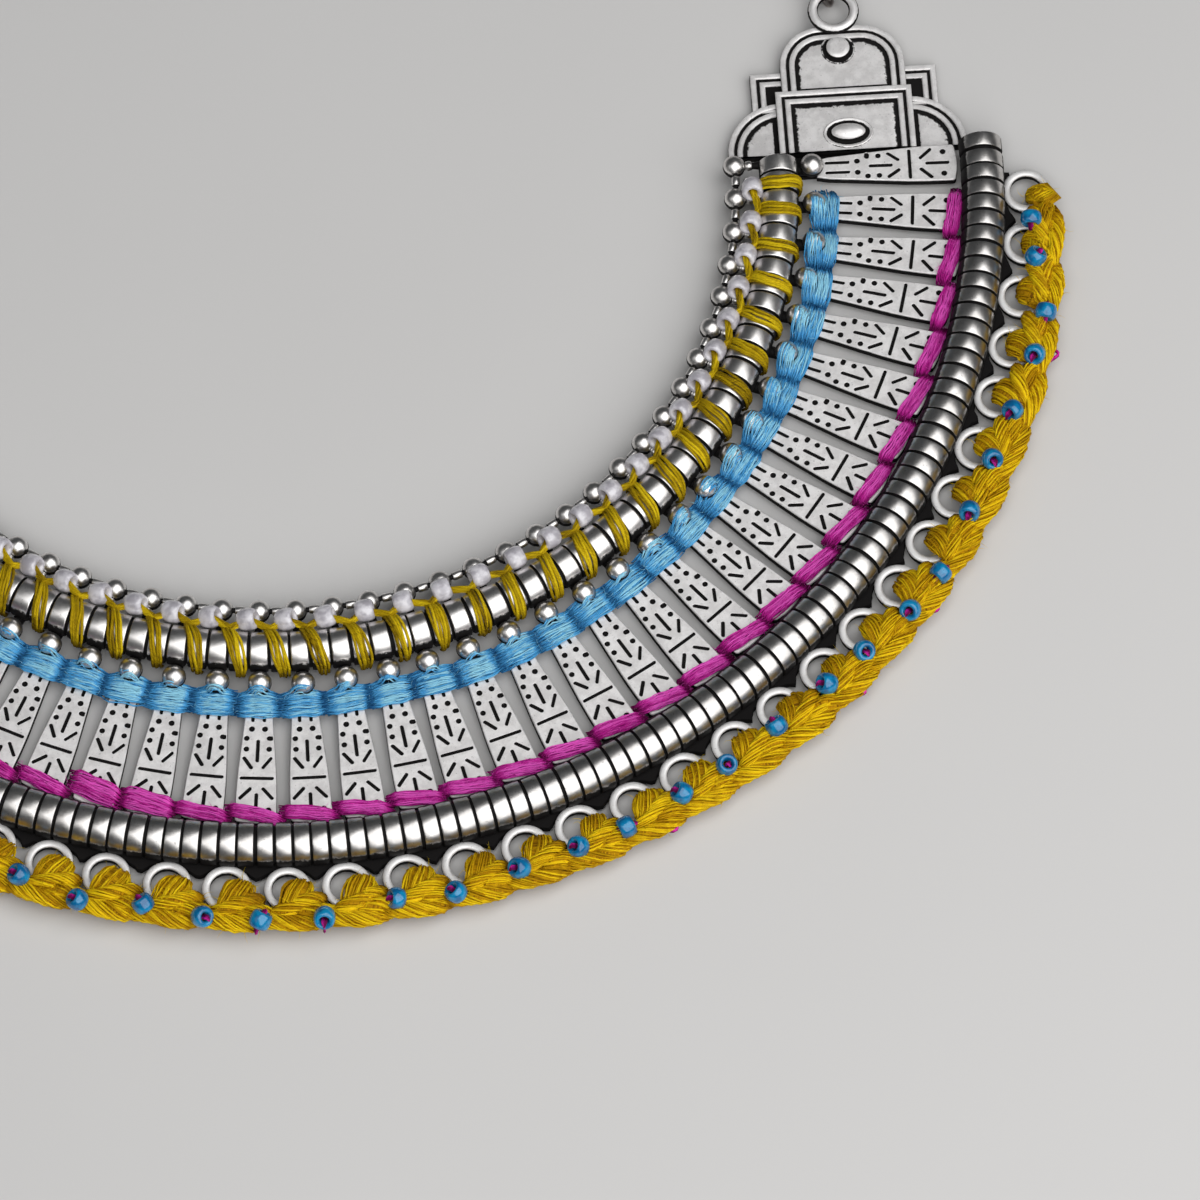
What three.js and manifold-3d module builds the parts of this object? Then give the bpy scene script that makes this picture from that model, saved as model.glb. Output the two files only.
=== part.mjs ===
// A stiff silver choker: forty-one fan-set wedges strung between an inner and an outer tube, wound with
// thread, edged with crochet, and closed behind the neck by a chain between two cast end plates.
// Millimetres, +Z up. The collar is drawn round its own centre, lying flat, and the whole group is then
// moved so that its box is centred on X and Y and stands on Z = 0.
import * as THREE from 'three';
import { mergeVertices } from 'three/addons/utils/BufferGeometryUtils.js';
import Module from 'manifold-3d';

const wasm = await Module();
wasm.setup();

// ---- Driving dimensions ----
const GAP = 0.3;

const WEDGE_COUNT = 41;
const WEDGE_PITCH = THREE.MathUtils.degToRad(4.469);
const FIRST_WEDGE_ANGLE = THREE.MathUtils.degToRad(-0.62);

const INNER_TUBE = { radius: 68.3, section: 2.6, height: 3.6, overrun: 0.028 };
const OUTER_TUBE = { radius: 96.0, section: 2.95, height: 2.95, overrun: 0.0347 };
const TUBE_SIDES = 8;

const INNER_BALL = { radius: 62.3, size: 1.5, height: 3.5, neck: 0.6, bite: 0.6, sides: 5 };
const NECK_BALL = { radius: 72.7, size: 1.5, height: 3.2, sides: 5, rings: 3 };

const WEDGE = {
  underside: 0.95,
  thickness: 1.3,
  neckRadius: 73.2,
  shoulderRadius: 75.0,
  endRadius: 92.7,
  neckHalf: 0.8,
  shoulderHalf: 1.65,
  endHalf: 2.8,
};

const LOOP_COUNT = 40;
const LOOP_PITCH = THREE.MathUtils.degToRad(4.445);
const FIRST_LOOP_ANGLE = THREE.MathUtils.degToRad(-3.05);
const LOOP = {
  radius: 102.0,
  outer: 3.2,
  inner: 2.4,
  underside: 1.0,
  thickness: 1.2,
  stemHalf: 1.4,
  bite: 0.9,
  arcHalf: THREE.MathUtils.degToRad(112),
  arcSteps: 3,
  sides: 6,
};

const BLUE_BAND = { inner: 74.6, outer: 77.4, crown: 3.6, dip: 3.0 };
const MAGENTA_BAND = { inner: 90.5, outer: 92.7, crown: 3.4, dip: 2.95 };

const CROCHET = {
  inner: 105.6,
  lobe: 102.0,
  seat: 2.55,
  lobeTop: 3.3,
  section: [
    { radius: 107.5, height: 0.4 },
    { radius: 108.4, height: 2.4 },
    { radius: 106.4, height: 4.1 },
  ],
  inwardFoot: 1.0,
};

const PLATE = {
  centre: 78.4,
  ground: 1.6,
  archTop: 2.0,
  frontTop: 2.3,
  recess: 0.5,
  rim: 1.5,
  cutter: 1.0,
};
const ARCH = { halfWidth: 8.5, foot: 9.0, spring: 16.0, crown: 21.9, cornerRadius: 5.9 };
const SHOULDERS = { halfWidth: 12.7, foot: 7.6, top: 15.2 };
const FRONT = { left: 68.9, right: 87.5, foot: 2.4, top: 12.0 };
const WINGS = { foot: 3.0, radius: 7.6, inset: 0.6 };
const ROUND_BOSS = { x: 78.0, y: 18.3, radius: 1.65, foot: 0.4, top: 2.5, sides: 8 };
const OVAL_BOSS = { x: 78.4, y: 5.1, halfLength: 2.5, halfWidth: 1.5, top: 3.2, sides: 8, rings: 4 };
const PLATE_RING = { x: 78.0, y: 24.0, radius: 2.75, wire: 0.62, height: 2.3, wireSides: 5, sides: 10 };

const LINK = { wireLength: 6.5, wireHalfWidth: 2.1, wire: 1.06, sides: 6, touch: 1.0, free: 1.4, first: 1.3 };
const LINKS_PER_STRETCH = 6;
const STRETCHES_PER_SIDE = 3;
// How the first links turn over from standing in the plate's ring to lying on the ground.
const FIRST_LINKS = [
  { tilt: 90, height: 2.66 },
  { tilt: -8, height: 2.56 },
  { tilt: 66, height: 2.64 },
  { tilt: -38, height: 2.25 },
];
const LYING_LINK = { tilt: 45, height: 2.25 };
// The last link stands up to pass round the clasp, counted back from the clasp.
const LAST_LINKS = [
  { tilt: -86, height: 2.66 },
  { tilt: 18, height: 2.4 },
];
const CLASP = { wire: 1.6, halfWidth: 3.5, height: 2.6, thickness: 1.1, sides: 10 };

const MATERIALS = {
  silver: { color: 0xc9c4bd, roughness: 0.34, metalness: 1.0 },
  darkSilver: { color: 0x6a6561, roughness: 0.42, metalness: 1.0 },
  blueThread: { color: 0x4f9fd6, roughness: 0.75, metalness: 0.0 },
  magentaThread: { color: 0x9c2488, roughness: 0.75, metalness: 0.0 },
  goldYarn: { color: 0xd2a616, roughness: 0.9, metalness: 0.0 },
};

// ---- Helpers ----
const FULL_TURN = 2 * Math.PI;
const wedgeAngle = (index) => FIRST_WEDGE_ANGLE - index * WEDGE_PITCH;
const loopAngle = (index) => FIRST_LOOP_ANGLE - index * LOOP_PITCH;
const COLLAR_START = wedgeAngle(0);
const COLLAR_END = wedgeAngle(WEDGE_COUNT - 1);

class ArcPath extends THREE.Curve {
  constructor(radius, height, start, end) {
    super();
    Object.assign(this, { radius, height, start, end });
  }

  getPoint(t, target = new THREE.Vector3()) {
    const angle = THREE.MathUtils.lerp(this.start, this.end, t);
    return target.set(this.radius * Math.cos(angle), this.radius * Math.sin(angle), this.height);
  }
}

function toSolid(geometry) {
  const bare = geometry.clone();
  bare.deleteAttribute('normal');
  bare.deleteAttribute('uv');
  const merged = mergeVertices(bare.index ? bare.toNonIndexed() : bare, 1e-5);
  return new wasm.Manifold(new wasm.Mesh({
    numProp: 3,
    vertProperties: new Float32Array(merged.attributes.position.array),
    triVerts: new Uint32Array(merged.index.array),
  }));
}

function toGeometry(solid) {
  const mesh = solid.getMesh();
  const geometry = new THREE.BufferGeometry();
  geometry.setAttribute('position', new THREE.BufferAttribute(new Float32Array(mesh.vertProperties), 3));
  geometry.setIndex(new THREE.BufferAttribute(new Uint32Array(mesh.triVerts), 1));
  geometry.computeVertexNormals();
  return geometry;
}

function fuse(geometries) {
  return geometries.map(toSolid).reduce((whole, next) => whole.add(next));
}

function unite(geometries) {
  return toGeometry(fuse(geometries));
}

function regularPolygon(sides, radius, turn = 0) {
  const points = [];
  for (let side = 0; side < sides; side += 1) {
    const angle = turn + (side * FULL_TURN) / sides;
    points.push(new THREE.Vector2(radius * Math.cos(angle), radius * Math.sin(angle)));
  }
  return points;
}

function slab(shape, bottom, top) {
  const options = { depth: top - bottom, bevelEnabled: false, curveSegments: 2 };
  return new THREE.ExtrudeGeometry(shape, options).translate(0, 0, bottom);
}

// Sweeps a section round the collar. Section points are { radius, height }, and the path runs clockwise.
function sweepRound(section, start, end, steps) {
  const centre = section.reduce((sum, point) => sum + point.radius, 0) / section.length;
  const outline = section.map((point) => new THREE.Vector2(-point.height, point.radius - centre));
  const shape = new THREE.Shape(outline);
  const extrudePath = new ArcPath(centre, 0, start, end);
  return new THREE.ExtrudeGeometry(shape, { steps, extrudePath, bevelEnabled: false });
}

// Moves each point of a swept band by a rule on its angle, radius and height.
function reshape(geometry, rule) {
  const position = geometry.attributes.position;
  for (let index = 0; index < position.count; index += 1) {
    const x = position.getX(index);
    const y = position.getY(index);
    const angle = Math.atan2(y, x);
    const moved = rule({ angle, radius: Math.hypot(x, y), height: position.getZ(index) });
    position.setXYZ(index, moved.radius * Math.cos(angle), moved.radius * Math.sin(angle), moved.height);
  }
  return geometry;
}

// 1 at each of the angles start, start - pitch, start - 2 * pitch and so on, and 0 midway between them.
function nearness(angle, start, pitch) {
  const clockwise = angle > 1 ? angle - FULL_TURN : angle;
  const place = (start - clockwise) / pitch;
  return Math.abs(place - Math.floor(place) - 0.5) * 2;
}

function roundSection(tube) {
  const turn = Math.PI / TUBE_SIDES;
  return regularPolygon(TUBE_SIDES, tube.section / Math.cos(turn), turn)
    .map((point) => ({ radius: tube.radius + point.x, height: tube.height + point.y }));
}

function namedMesh(name, geometry, look) {
  const mesh = new THREE.Mesh(geometry, new THREE.MeshStandardMaterial(MATERIALS[look]));
  mesh.name = name;
  return mesh;
}

// ---- Wedge: a flat tapering plate, with the ball of its neck at the narrow end ----
function wedgeGeometry() {
  const half = [
    [WEDGE.neckRadius, WEDGE.neckHalf],
    [WEDGE.shoulderRadius, WEDGE.shoulderHalf],
    [WEDGE.endRadius, WEDGE.endHalf],
  ];
  const outline = [
    ...half.map(([along, across]) => new THREE.Vector2(along, -across)),
    ...half.toReversed().map(([along, across]) => new THREE.Vector2(along, across)),
  ];
  const plate = slab(new THREE.Shape(outline), WEDGE.underside, WEDGE.underside + WEDGE.thickness);
  const ball = new THREE.SphereGeometry(NECK_BALL.size, NECK_BALL.sides, NECK_BALL.rings)
    .rotateX(Math.PI / 2)
    .translate(NECK_BALL.radius, 0, NECK_BALL.height);
  return unite([plate, ball]);
}

// ---- Inner tube, with a ball on a short neck towards the throat at every wedge ----
function innerBallGeometry() {
  const size = INNER_BALL.size;
  const neckEnd = INNER_TUBE.radius - INNER_TUBE.section - INNER_BALL.radius + INNER_BALL.bite;
  const belt = size / 2;
  const waist = Math.sqrt(size ** 2 - belt ** 2);
  const profile = [
    new THREE.Vector2(0, -size),
    new THREE.Vector2(waist, -belt),
    new THREE.Vector2(waist, belt),
    new THREE.Vector2(INNER_BALL.neck, neckEnd),
    new THREE.Vector2(0, neckEnd),
  ];
  return new THREE.LatheGeometry(profile, INNER_BALL.sides)
    .rotateZ(-Math.PI / 2)
    .translate(INNER_BALL.radius, 0, INNER_BALL.height);
}

function innerTubeGeometry() {
  const tube = sweepRound(
    roundSection(INNER_TUBE),
    COLLAR_START + INNER_TUBE.overrun,
    COLLAR_END - INNER_TUBE.overrun,
    WEDGE_COUNT,
  );
  const ball = innerBallGeometry();
  const balls = [];
  for (let index = 0; index < WEDGE_COUNT; index += 1) {
    balls.push(ball.clone().rotateZ(wedgeAngle(index)));
  }
  return unite([tube, ...balls]);
}

// ---- Outer tube, with a row of flat loops along its outer side ----
function loopGeometry() {
  const root = LOOP.radius - OUTER_TUBE.radius - OUTER_TUBE.section + LOOP.bite;
  const outline = [new THREE.Vector2(-root, -LOOP.stemHalf)];
  for (let step = 0; step <= LOOP.arcSteps; step += 1) {
    const angle = THREE.MathUtils.lerp(-LOOP.arcHalf, LOOP.arcHalf, step / LOOP.arcSteps);
    outline.push(new THREE.Vector2(LOOP.outer * Math.cos(angle), LOOP.outer * Math.sin(angle)));
  }
  outline.push(new THREE.Vector2(-root, LOOP.stemHalf));
  const shape = new THREE.Shape(outline);
  shape.holes.push(new THREE.Path(regularPolygon(LOOP.sides, LOOP.inner)));
  return slab(shape, LOOP.underside, LOOP.underside + LOOP.thickness).translate(LOOP.radius, 0, 0);
}

function outerTubeGeometry() {
  const tube = sweepRound(
    roundSection(OUTER_TUBE),
    COLLAR_START + OUTER_TUBE.overrun,
    COLLAR_END - OUTER_TUBE.overrun,
    WEDGE_COUNT,
  );
  const loop = loopGeometry();
  const loops = [];
  for (let index = 0; index < LOOP_COUNT; index += 1) {
    loops.push(loop.clone().rotateZ(loopAngle(index)));
  }
  return unite([tube, ...loops]);
}

// ---- Thread bands: laid over the wedges, and pulled down between them ----
function threadBandGeometry(band) {
  const seat = WEDGE.underside + WEDGE.thickness + GAP;
  const section = [
    { radius: band.inner, height: seat },
    { radius: band.outer, height: seat },
    { radius: band.outer, height: band.crown },
    { radius: band.inner, height: band.crown },
  ];
  const steps = 2 * (WEDGE_COUNT - 2);
  const swept = sweepRound(section, wedgeAngle(0.5), wedgeAngle(WEDGE_COUNT - 1.5), steps);
  const crownHeight = (angle) => (
    THREE.MathUtils.lerp(band.dip, band.crown, nearness(angle, COLLAR_START, WEDGE_PITCH))
  );
  return reshape(swept, ({ angle, radius, height }) => ({
    radius,
    height: height > seat + GAP / 2 ? crownHeight(angle) : height,
  }));
}

// ---- Crochet edge: a rope of yarn that laps over every loop ----
function crochetGeometry() {
  const section = [
    { radius: CROCHET.inner, height: CROCHET.inwardFoot },
    ...CROCHET.section,
    { radius: CROCHET.lobe, height: CROCHET.lobeTop },
    { radius: CROCHET.inner, height: CROCHET.seat },
  ];
  const swept = sweepRound(section, loopAngle(0), loopAngle(LOOP_COUNT - 1), 2 * (LOOP_COUNT - 1));
  const isLobe = (radius, height) => radius < CROCHET.lobe + GAP && height > CROCHET.seat + GAP;
  const lobeRadius = (angle) => (
    THREE.MathUtils.lerp(CROCHET.inner, CROCHET.lobe, nearness(angle, FIRST_LOOP_ANGLE, LOOP_PITCH))
  );
  return reshape(swept, ({ angle, radius, height }) => ({
    radius: isLobe(radius, height) ? lobeRadius(angle) : radius,
    height,
  }));
}

// ---- End plate: stepped panels cast in one, with sunk fields, two bosses and a soldered ring ----
function rectangle(left, right, foot, top) {
  return new THREE.Shape([
    new THREE.Vector2(left, foot),
    new THREE.Vector2(right, foot),
    new THREE.Vector2(right, top),
    new THREE.Vector2(left, top),
  ]);
}

function archShape(inset, foot) {
  const left = PLATE.centre - ARCH.halfWidth + inset;
  const right = PLATE.centre + ARCH.halfWidth - inset;
  const bend = ARCH.cornerRadius - inset;
  const shape = new THREE.Shape();
  shape.moveTo(left, foot);
  shape.lineTo(right, foot);
  shape.lineTo(right, ARCH.spring);
  shape.absarc(right - bend, ARCH.spring, bend, 0, Math.PI / 2, false);
  shape.absarc(left + bend, ARCH.spring, bend, Math.PI / 2, Math.PI, false);
  shape.closePath();
  return shape;
}

// A quarter disc that stands on its straight side, its round side away from the plate's middle.
function quarterShape(cornerX, side, radius, foot) {
  const arcSteps = 5;
  const points = [new THREE.Vector2(cornerX, foot)];
  for (let step = 0; step <= arcSteps; step += 1) {
    const angle = (step / arcSteps) * (Math.PI / 2);
    const across = side * radius * Math.cos(angle);
    points.push(new THREE.Vector2(cornerX + across, foot + radius * Math.sin(angle)));
  }
  return new THREE.Shape(points);
}

function endPlateGeometry() {
  const { centre, ground, archTop, frontTop, recess, rim, cutter } = PLATE;
  const { halfWidth, foot, top } = SHOULDERS;
  const wing = (side, inset) => quarterShape(
    side > 0 ? FRONT.right - WINGS.inset : FRONT.left + WINGS.inset,
    side,
    WINGS.radius - inset,
    WINGS.foot + inset / 2,
  );
  const frontPanel = (grow) => rectangle(
    FRONT.left - grow,
    FRONT.right + grow,
    FRONT.foot + Math.min(grow, 0) / 2,
    FRONT.top + grow,
  );
  const raised = [
    slab(rectangle(centre - halfWidth, centre + halfWidth, foot, top), 0, ground),
    slab(wing(1, 0), 0, ground),
    slab(wing(-1, 0), 0, ground),
    slab(archShape(0, ARCH.foot), 0, archTop),
    slab(frontPanel(0), 0, frontTop),
  ];
  const fields = [
    slab(archShape(rim, FRONT.top), archTop - recess, archTop + cutter),
    slab(frontPanel(-rim), frontTop - recess, frontTop + cutter),
    slab(wing(1, rim), ground - recess, ground + cutter),
    slab(wing(-1, rim), ground - recess, ground + cutter),
  ];
  const { radius: bossRadius, foot: bossFoot, top: bossTop } = ROUND_BOSS;
  const roundBoss = new THREE.CylinderGeometry(bossRadius, bossRadius, bossTop - bossFoot, ROUND_BOSS.sides)
    .rotateX(Math.PI / 2)
    .translate(ROUND_BOSS.x, ROUND_BOSS.y, (bossTop + bossFoot) / 2);
  const ovalBoss = new THREE.SphereGeometry(1, OVAL_BOSS.sides, OVAL_BOSS.rings)
    .rotateX(Math.PI / 2)
    .scale(OVAL_BOSS.halfLength, OVAL_BOSS.halfWidth, OVAL_BOSS.top - frontTop + recess)
    .translate(OVAL_BOSS.x, OVAL_BOSS.y, frontTop - recess);
  const { wireSides, sides } = PLATE_RING;
  const ring = new THREE.TorusGeometry(PLATE_RING.radius, PLATE_RING.wire, wireSides, sides)
    .translate(PLATE_RING.x, PLATE_RING.y, PLATE_RING.height);
  const backing = toSolid(slab(frontPanel(0), 0, frontTop - recess));
  return toGeometry(fuse(raised).subtract(fuse(fields)).add(backing).add(fuse([roundBoss, ovalBoss, ring])));
}

// ---- Chain: few-sided links, each stretch joined where its links touch ----
function ringShape(halfLength, halfWidth, wire, sides) {
  const turn = Math.PI / sides;
  const outline = (grow) => regularPolygon(sides, 1, turn).map((point) => new THREE.Vector2(
    (point.x / Math.cos(turn)) * (halfLength + grow),
    point.y * (halfWidth + grow),
  ));
  const shape = new THREE.Shape(outline(wire / 2));
  shape.holes.push(new THREE.Path(outline(-wire / 2)));
  return shape;
}

const CHAIN_RADIUS = Math.hypot(PLATE_RING.x, PLATE_RING.y);
const CHAIN_START = Math.atan2(PLATE_RING.y, PLATE_RING.x);
const CHAIN_HALF_LENGTH = (Math.PI / 2 - CHAIN_START) * CHAIN_RADIUS;

// Where each link of one side begins, measured along the chain from the centre of the plate's ring.
function linkTable() {
  const rows = [];
  const count = STRETCHES_PER_SIDE * LINKS_PER_STRETCH;
  let begin = LINK.first;
  for (let index = 0; index < count; index += 1) {
    const flip = index % 2 === 0 ? 1 : -1;
    const lying = { tilt: flip * LYING_LINK.tilt, height: LYING_LINK.height };
    const place = FIRST_LINKS[index] ?? LAST_LINKS[count - 1 - index] ?? lying;
    rows.push({ middle: begin + LINK.wireLength / 2, ...place });
    const endsStretch = (index + 1) % LINKS_PER_STRETCH === 0;
    begin += LINK.wireLength - (endsStretch ? LINK.free : LINK.touch);
  }
  return { rows, next: begin };
}

function placeOnChain(geometry, along, tilt, height, side) {
  const angle = CHAIN_START + along / CHAIN_RADIUS;
  geometry.rotateX(THREE.MathUtils.degToRad(tilt));
  geometry.rotateZ(angle + Math.PI / 2);
  geometry.translate(CHAIN_RADIUS * Math.cos(angle), CHAIN_RADIUS * Math.sin(angle), height);
  return side > 0 ? geometry : mirrored(geometry);
}

function mirrored(geometry) {
  const solid = toSolid(geometry).mirror([1, 0, 0]);
  return toGeometry(solid);
}

function linkGeometry() {
  const shape = ringShape(LINK.wireLength / 2, LINK.wireHalfWidth, LINK.wire, LINK.sides);
  return slab(shape, -LINK.wire / 2, LINK.wire / 2);
}

function chainStretchGeometry(side, stretch) {
  const link = linkGeometry();
  const rows = linkTable().rows.slice(stretch * LINKS_PER_STRETCH, (stretch + 1) * LINKS_PER_STRETCH);
  return unite(rows.map((row) => placeOnChain(link.clone(), row.middle, row.tilt, row.height, side)));
}

function claspGeometry() {
  const wireStart = linkTable().next + LINK.free - (LINK.wire / 2 + GAP + CLASP.wire / 2);
  const halfLength = CHAIN_HALF_LENGTH - wireStart;
  const shape = ringShape(halfLength, CLASP.halfWidth, CLASP.wire, CLASP.sides);
  return slab(shape, -CLASP.thickness / 2, CLASP.thickness / 2)
    .translate(0, CHAIN_RADIUS, CLASP.height);
}

// ---- Assembly ----
const necklace = new THREE.Group();
necklace.name = 'choker_necklace';

const wedge = wedgeGeometry();
for (let index = 0; index < WEDGE_COUNT; index += 1) {
  const mesh = namedMesh(`wedge_${String(index + 1).padStart(2, '0')}`, wedge, 'silver');
  mesh.rotation.z = wedgeAngle(index);
  necklace.add(mesh);
}
necklace.add(namedMesh('inner_tube', innerTubeGeometry(), 'silver'));
necklace.add(namedMesh('outer_tube', outerTubeGeometry(), 'silver'));
necklace.add(namedMesh('blue_thread', threadBandGeometry(BLUE_BAND), 'blueThread'));
necklace.add(namedMesh('magenta_thread', threadBandGeometry(MAGENTA_BAND), 'magentaThread'));
necklace.add(namedMesh('crochet_edge', crochetGeometry(), 'goldYarn'));

const endPlate = endPlateGeometry();
necklace.add(namedMesh('end_plate_right', endPlate, 'silver'));
necklace.add(namedMesh('end_plate_left', mirrored(endPlate), 'silver'));

for (const [sideName, side] of [['right', 1], ['left', -1]]) {
  for (let stretch = 0; stretch < STRETCHES_PER_SIDE; stretch += 1) {
    const chain = chainStretchGeometry(side, stretch);
    necklace.add(namedMesh(`chain_${sideName}_${stretch + 1}`, chain, 'darkSilver'));
  }
}
necklace.add(namedMesh('clasp', claspGeometry(), 'darkSilver'));

const bounds = new THREE.Box3().setFromObject(necklace, true);
const middle = bounds.getCenter(new THREE.Vector3());
necklace.position.set(-middle.x, -middle.y, -bounds.min.z);

export default necklace;
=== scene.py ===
"""The look of the choker necklace: stamped wedges strung between two tubes of silver barrels, wound with
floss, edged with crochet and beads, and closed by a chain. Shapes are made in millimetres round the collar's
centre, and every piece is moved into the frame, in metres, when its mesh is built."""
import math

import bpy
import numpy as np
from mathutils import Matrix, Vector, geometry


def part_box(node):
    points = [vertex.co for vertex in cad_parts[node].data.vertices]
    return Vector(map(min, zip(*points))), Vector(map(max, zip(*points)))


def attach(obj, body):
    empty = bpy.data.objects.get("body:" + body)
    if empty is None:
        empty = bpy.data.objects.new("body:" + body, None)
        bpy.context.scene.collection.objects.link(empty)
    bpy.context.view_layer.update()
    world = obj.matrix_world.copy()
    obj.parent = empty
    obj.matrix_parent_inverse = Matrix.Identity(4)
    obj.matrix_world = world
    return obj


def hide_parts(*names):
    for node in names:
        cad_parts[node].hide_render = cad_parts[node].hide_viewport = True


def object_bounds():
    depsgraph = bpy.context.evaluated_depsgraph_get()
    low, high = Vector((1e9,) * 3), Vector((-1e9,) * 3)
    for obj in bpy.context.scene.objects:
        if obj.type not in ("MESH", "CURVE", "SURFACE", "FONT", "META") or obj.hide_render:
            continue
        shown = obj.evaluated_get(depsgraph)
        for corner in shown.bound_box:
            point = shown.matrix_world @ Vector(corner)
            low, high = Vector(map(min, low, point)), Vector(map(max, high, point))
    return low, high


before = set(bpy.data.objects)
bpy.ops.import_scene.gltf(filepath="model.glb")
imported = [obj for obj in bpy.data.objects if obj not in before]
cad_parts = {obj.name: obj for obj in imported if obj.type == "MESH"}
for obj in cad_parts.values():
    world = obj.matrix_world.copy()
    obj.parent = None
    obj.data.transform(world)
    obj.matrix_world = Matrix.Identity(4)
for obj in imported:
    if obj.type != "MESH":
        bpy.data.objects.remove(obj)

MM = 0.001
TAU = 2 * math.pi
UP = np.array([0.0, 0.0, 1.0])
OUT = np.array([1.0, 0.0, 0.0])
ROOT = "root"
BALL_ROWS = 14
BEAD_STEPS = 14
cad_low, cad_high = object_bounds()

# ---- Sizes, in millimetres ----
CROCHET_OUTER = 108.4
# Each row of a rim is (in from the barrel's end, below its crest, shade).
INNER_TUBE = {
    "radius": 68.4, "section": 2.65, "height": 3.6, "groove": 0.34, "sides": 28, "core": 0.42,
    "rim": ((0, 0.5, 1.0), (0, 0.12, 0.9), (0.07, 0.03, 0.25), (0.2, 0, 0.0)),
}
OUTER_TUBE = {
    "radius": 96.0, "section": 2.95, "height": 2.95, "groove": 0.32, "sides": 30, "core": 0.4,
    "rim": ((0, 0.5, 1.0), (0, 0.16, 0.9), (0.07, 0.05, 0.3), (0.24, 0, 0.0)),
}
OUTER_RINGS = 128
INNER_BALL = {"radius": 62.45, "size": 1.53, "height": 3.5}
NECK_BALL = {"radius": 72.95, "size": 1.6, "height": 3.2}
LOOP = {"radius": 101.9, "mean": 2.71, "height": 1.6, "count": 40}
LOOP_PITCH = math.radians(4.445)
FIRST_LOOP = math.radians(-3.05)
WEDGE = {"underside": 0.95, "face": 2.25, "neck": 73.6, "end": 92.75, "corner": 0.5}
# The wedge's half width along its length.
WEDGE_HALF = (
    # radius, half
    (73.6, 1.35),
    (75.0, 1.66),
    (78.6, 1.96),
    (81.8, 2.25),
    (85.4, 2.56),
    (88.0, 2.70),
    (92.8, 2.78),
)
# Stamped marks: straight lines with round ends from one point to another, and dots where both are the same.
MARKS = (
    # radius, across, end radius, end across, half width
    (75.0, -0.75, 77.9, -0.75, 0.24),
    (75.0, 0.75, 77.9, 0.75, 0.24),
    (79.15, -0.86, 79.15, -0.86, 0.40),
    (79.15, 0.86, 79.15, 0.86, 0.40),
    (80.5, -1.50, 80.5, -1.50, 0.38),
    (80.5, 1.48, 80.5, 1.70, 0.35),
    (82.05, -1.50, 82.05, -1.50, 0.38),
    (82.05, 1.50, 82.05, 1.50, 0.38),
    (80.95, 0.0, 83.7, 0.0, 0.26),
    (83.4, -1.74, 84.7, -0.80, 0.27),
    (83.4, 1.74, 84.7, 0.80, 0.24),
    (86.25, -2.0, 86.25, 2.0, 0.25),
    (89.1, -2.08, 87.8, -0.88, 0.27),
    (89.1, 2.08, 87.8, 0.88, 0.25),
    (88.65, 0.0, 91.4, 0.0, 0.26),
    (90.85, -1.66, 90.85, -1.66, 0.41),
    (90.85, 1.66, 90.85, 1.66, 0.41),
)
MARK_DEPTH = 0.26
# How the rows stray from even spacing along the half that the photo shows.
STRAY = (
    # wedge, wedge across, wedge out, inner ball across, pearl out, blue band out, magenta band out
    (0, 0.45, 0.25, 0.90, 0.6, -1.15, 0.1),
    (3, 0.35, 0.10, 0.35, 0.3, -1.15, -0.1),
    (8, 0.15, -0.10, 0.05, 0.0, -1.1, -0.6),
    (12, 0.10, -0.15, 0.0, 0.0, -0.9, -0.6),
    (16, 0.10, -0.15, -0.15, 0.0, -0.25, -0.6),
    (22, 0.05, -0.15, -0.24, 0.0, -0.3, -0.5),
    (23, 0.04, -0.15, -0.22, 0.0, -0.3, -1.05),
    (24, 0.03, -0.15, -0.2, 0.0, -0.3, -1.3),
    (25, 0.03, -0.15, -0.18, 0.0, -0.3, -0.6),
    (40, 0.0, -0.15, 0.0, 0.0, -0.3, -0.5),
)
BLUE_LOOKS = (
    # wedge, widened, spread inward, gather, dip, how far out from a ball's middle strands ride over it
    (7, 1.0, 0.45, 0.2, 1.6, -2.0),
    (12, 1.0, 0.0, 0.09, 2.1, 1.2),
    (17, 1.0, 0.0, 0.09, 2.1, 1.2),
    (20, 1.0, 0.3, 0.2, 2.0, 0.9),
)
MAGENTA_LOOKS = (
    (0, 1.0, 0.0, 0.22, 1.6, 9.0),
    (22, 1.0, 0.0, 0.22, 1.7, 9.0),
    (23, 1.6, 0.0, 0.22, 1.7, 9.0),
    (24, 1.7, 0.0, 0.22, 1.7, 9.0),
    (25, 1.1, 0.0, 0.22, 1.7, 9.0),
    (40, 1.0, 0.0, 0.22, 1.7, 9.0),
)
# Column is the band's own in the table of strays.
BLUE_BAND = {
    "radius": 75.8, "width": 3.8, "strands": 24, "size": 0.115, "slope": 0.0,
    "looks": BLUE_LOOKS, "column": 4, "seed": 19,
}
MAGENTA_BAND = {
    "radius": 91.95, "width": 2.05, "strands": 14, "size": 0.11, "slope": -0.18,
    "looks": MAGENTA_LOOKS, "column": 5, "seed": 21,
}
BAND_STEPS = 13
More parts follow.
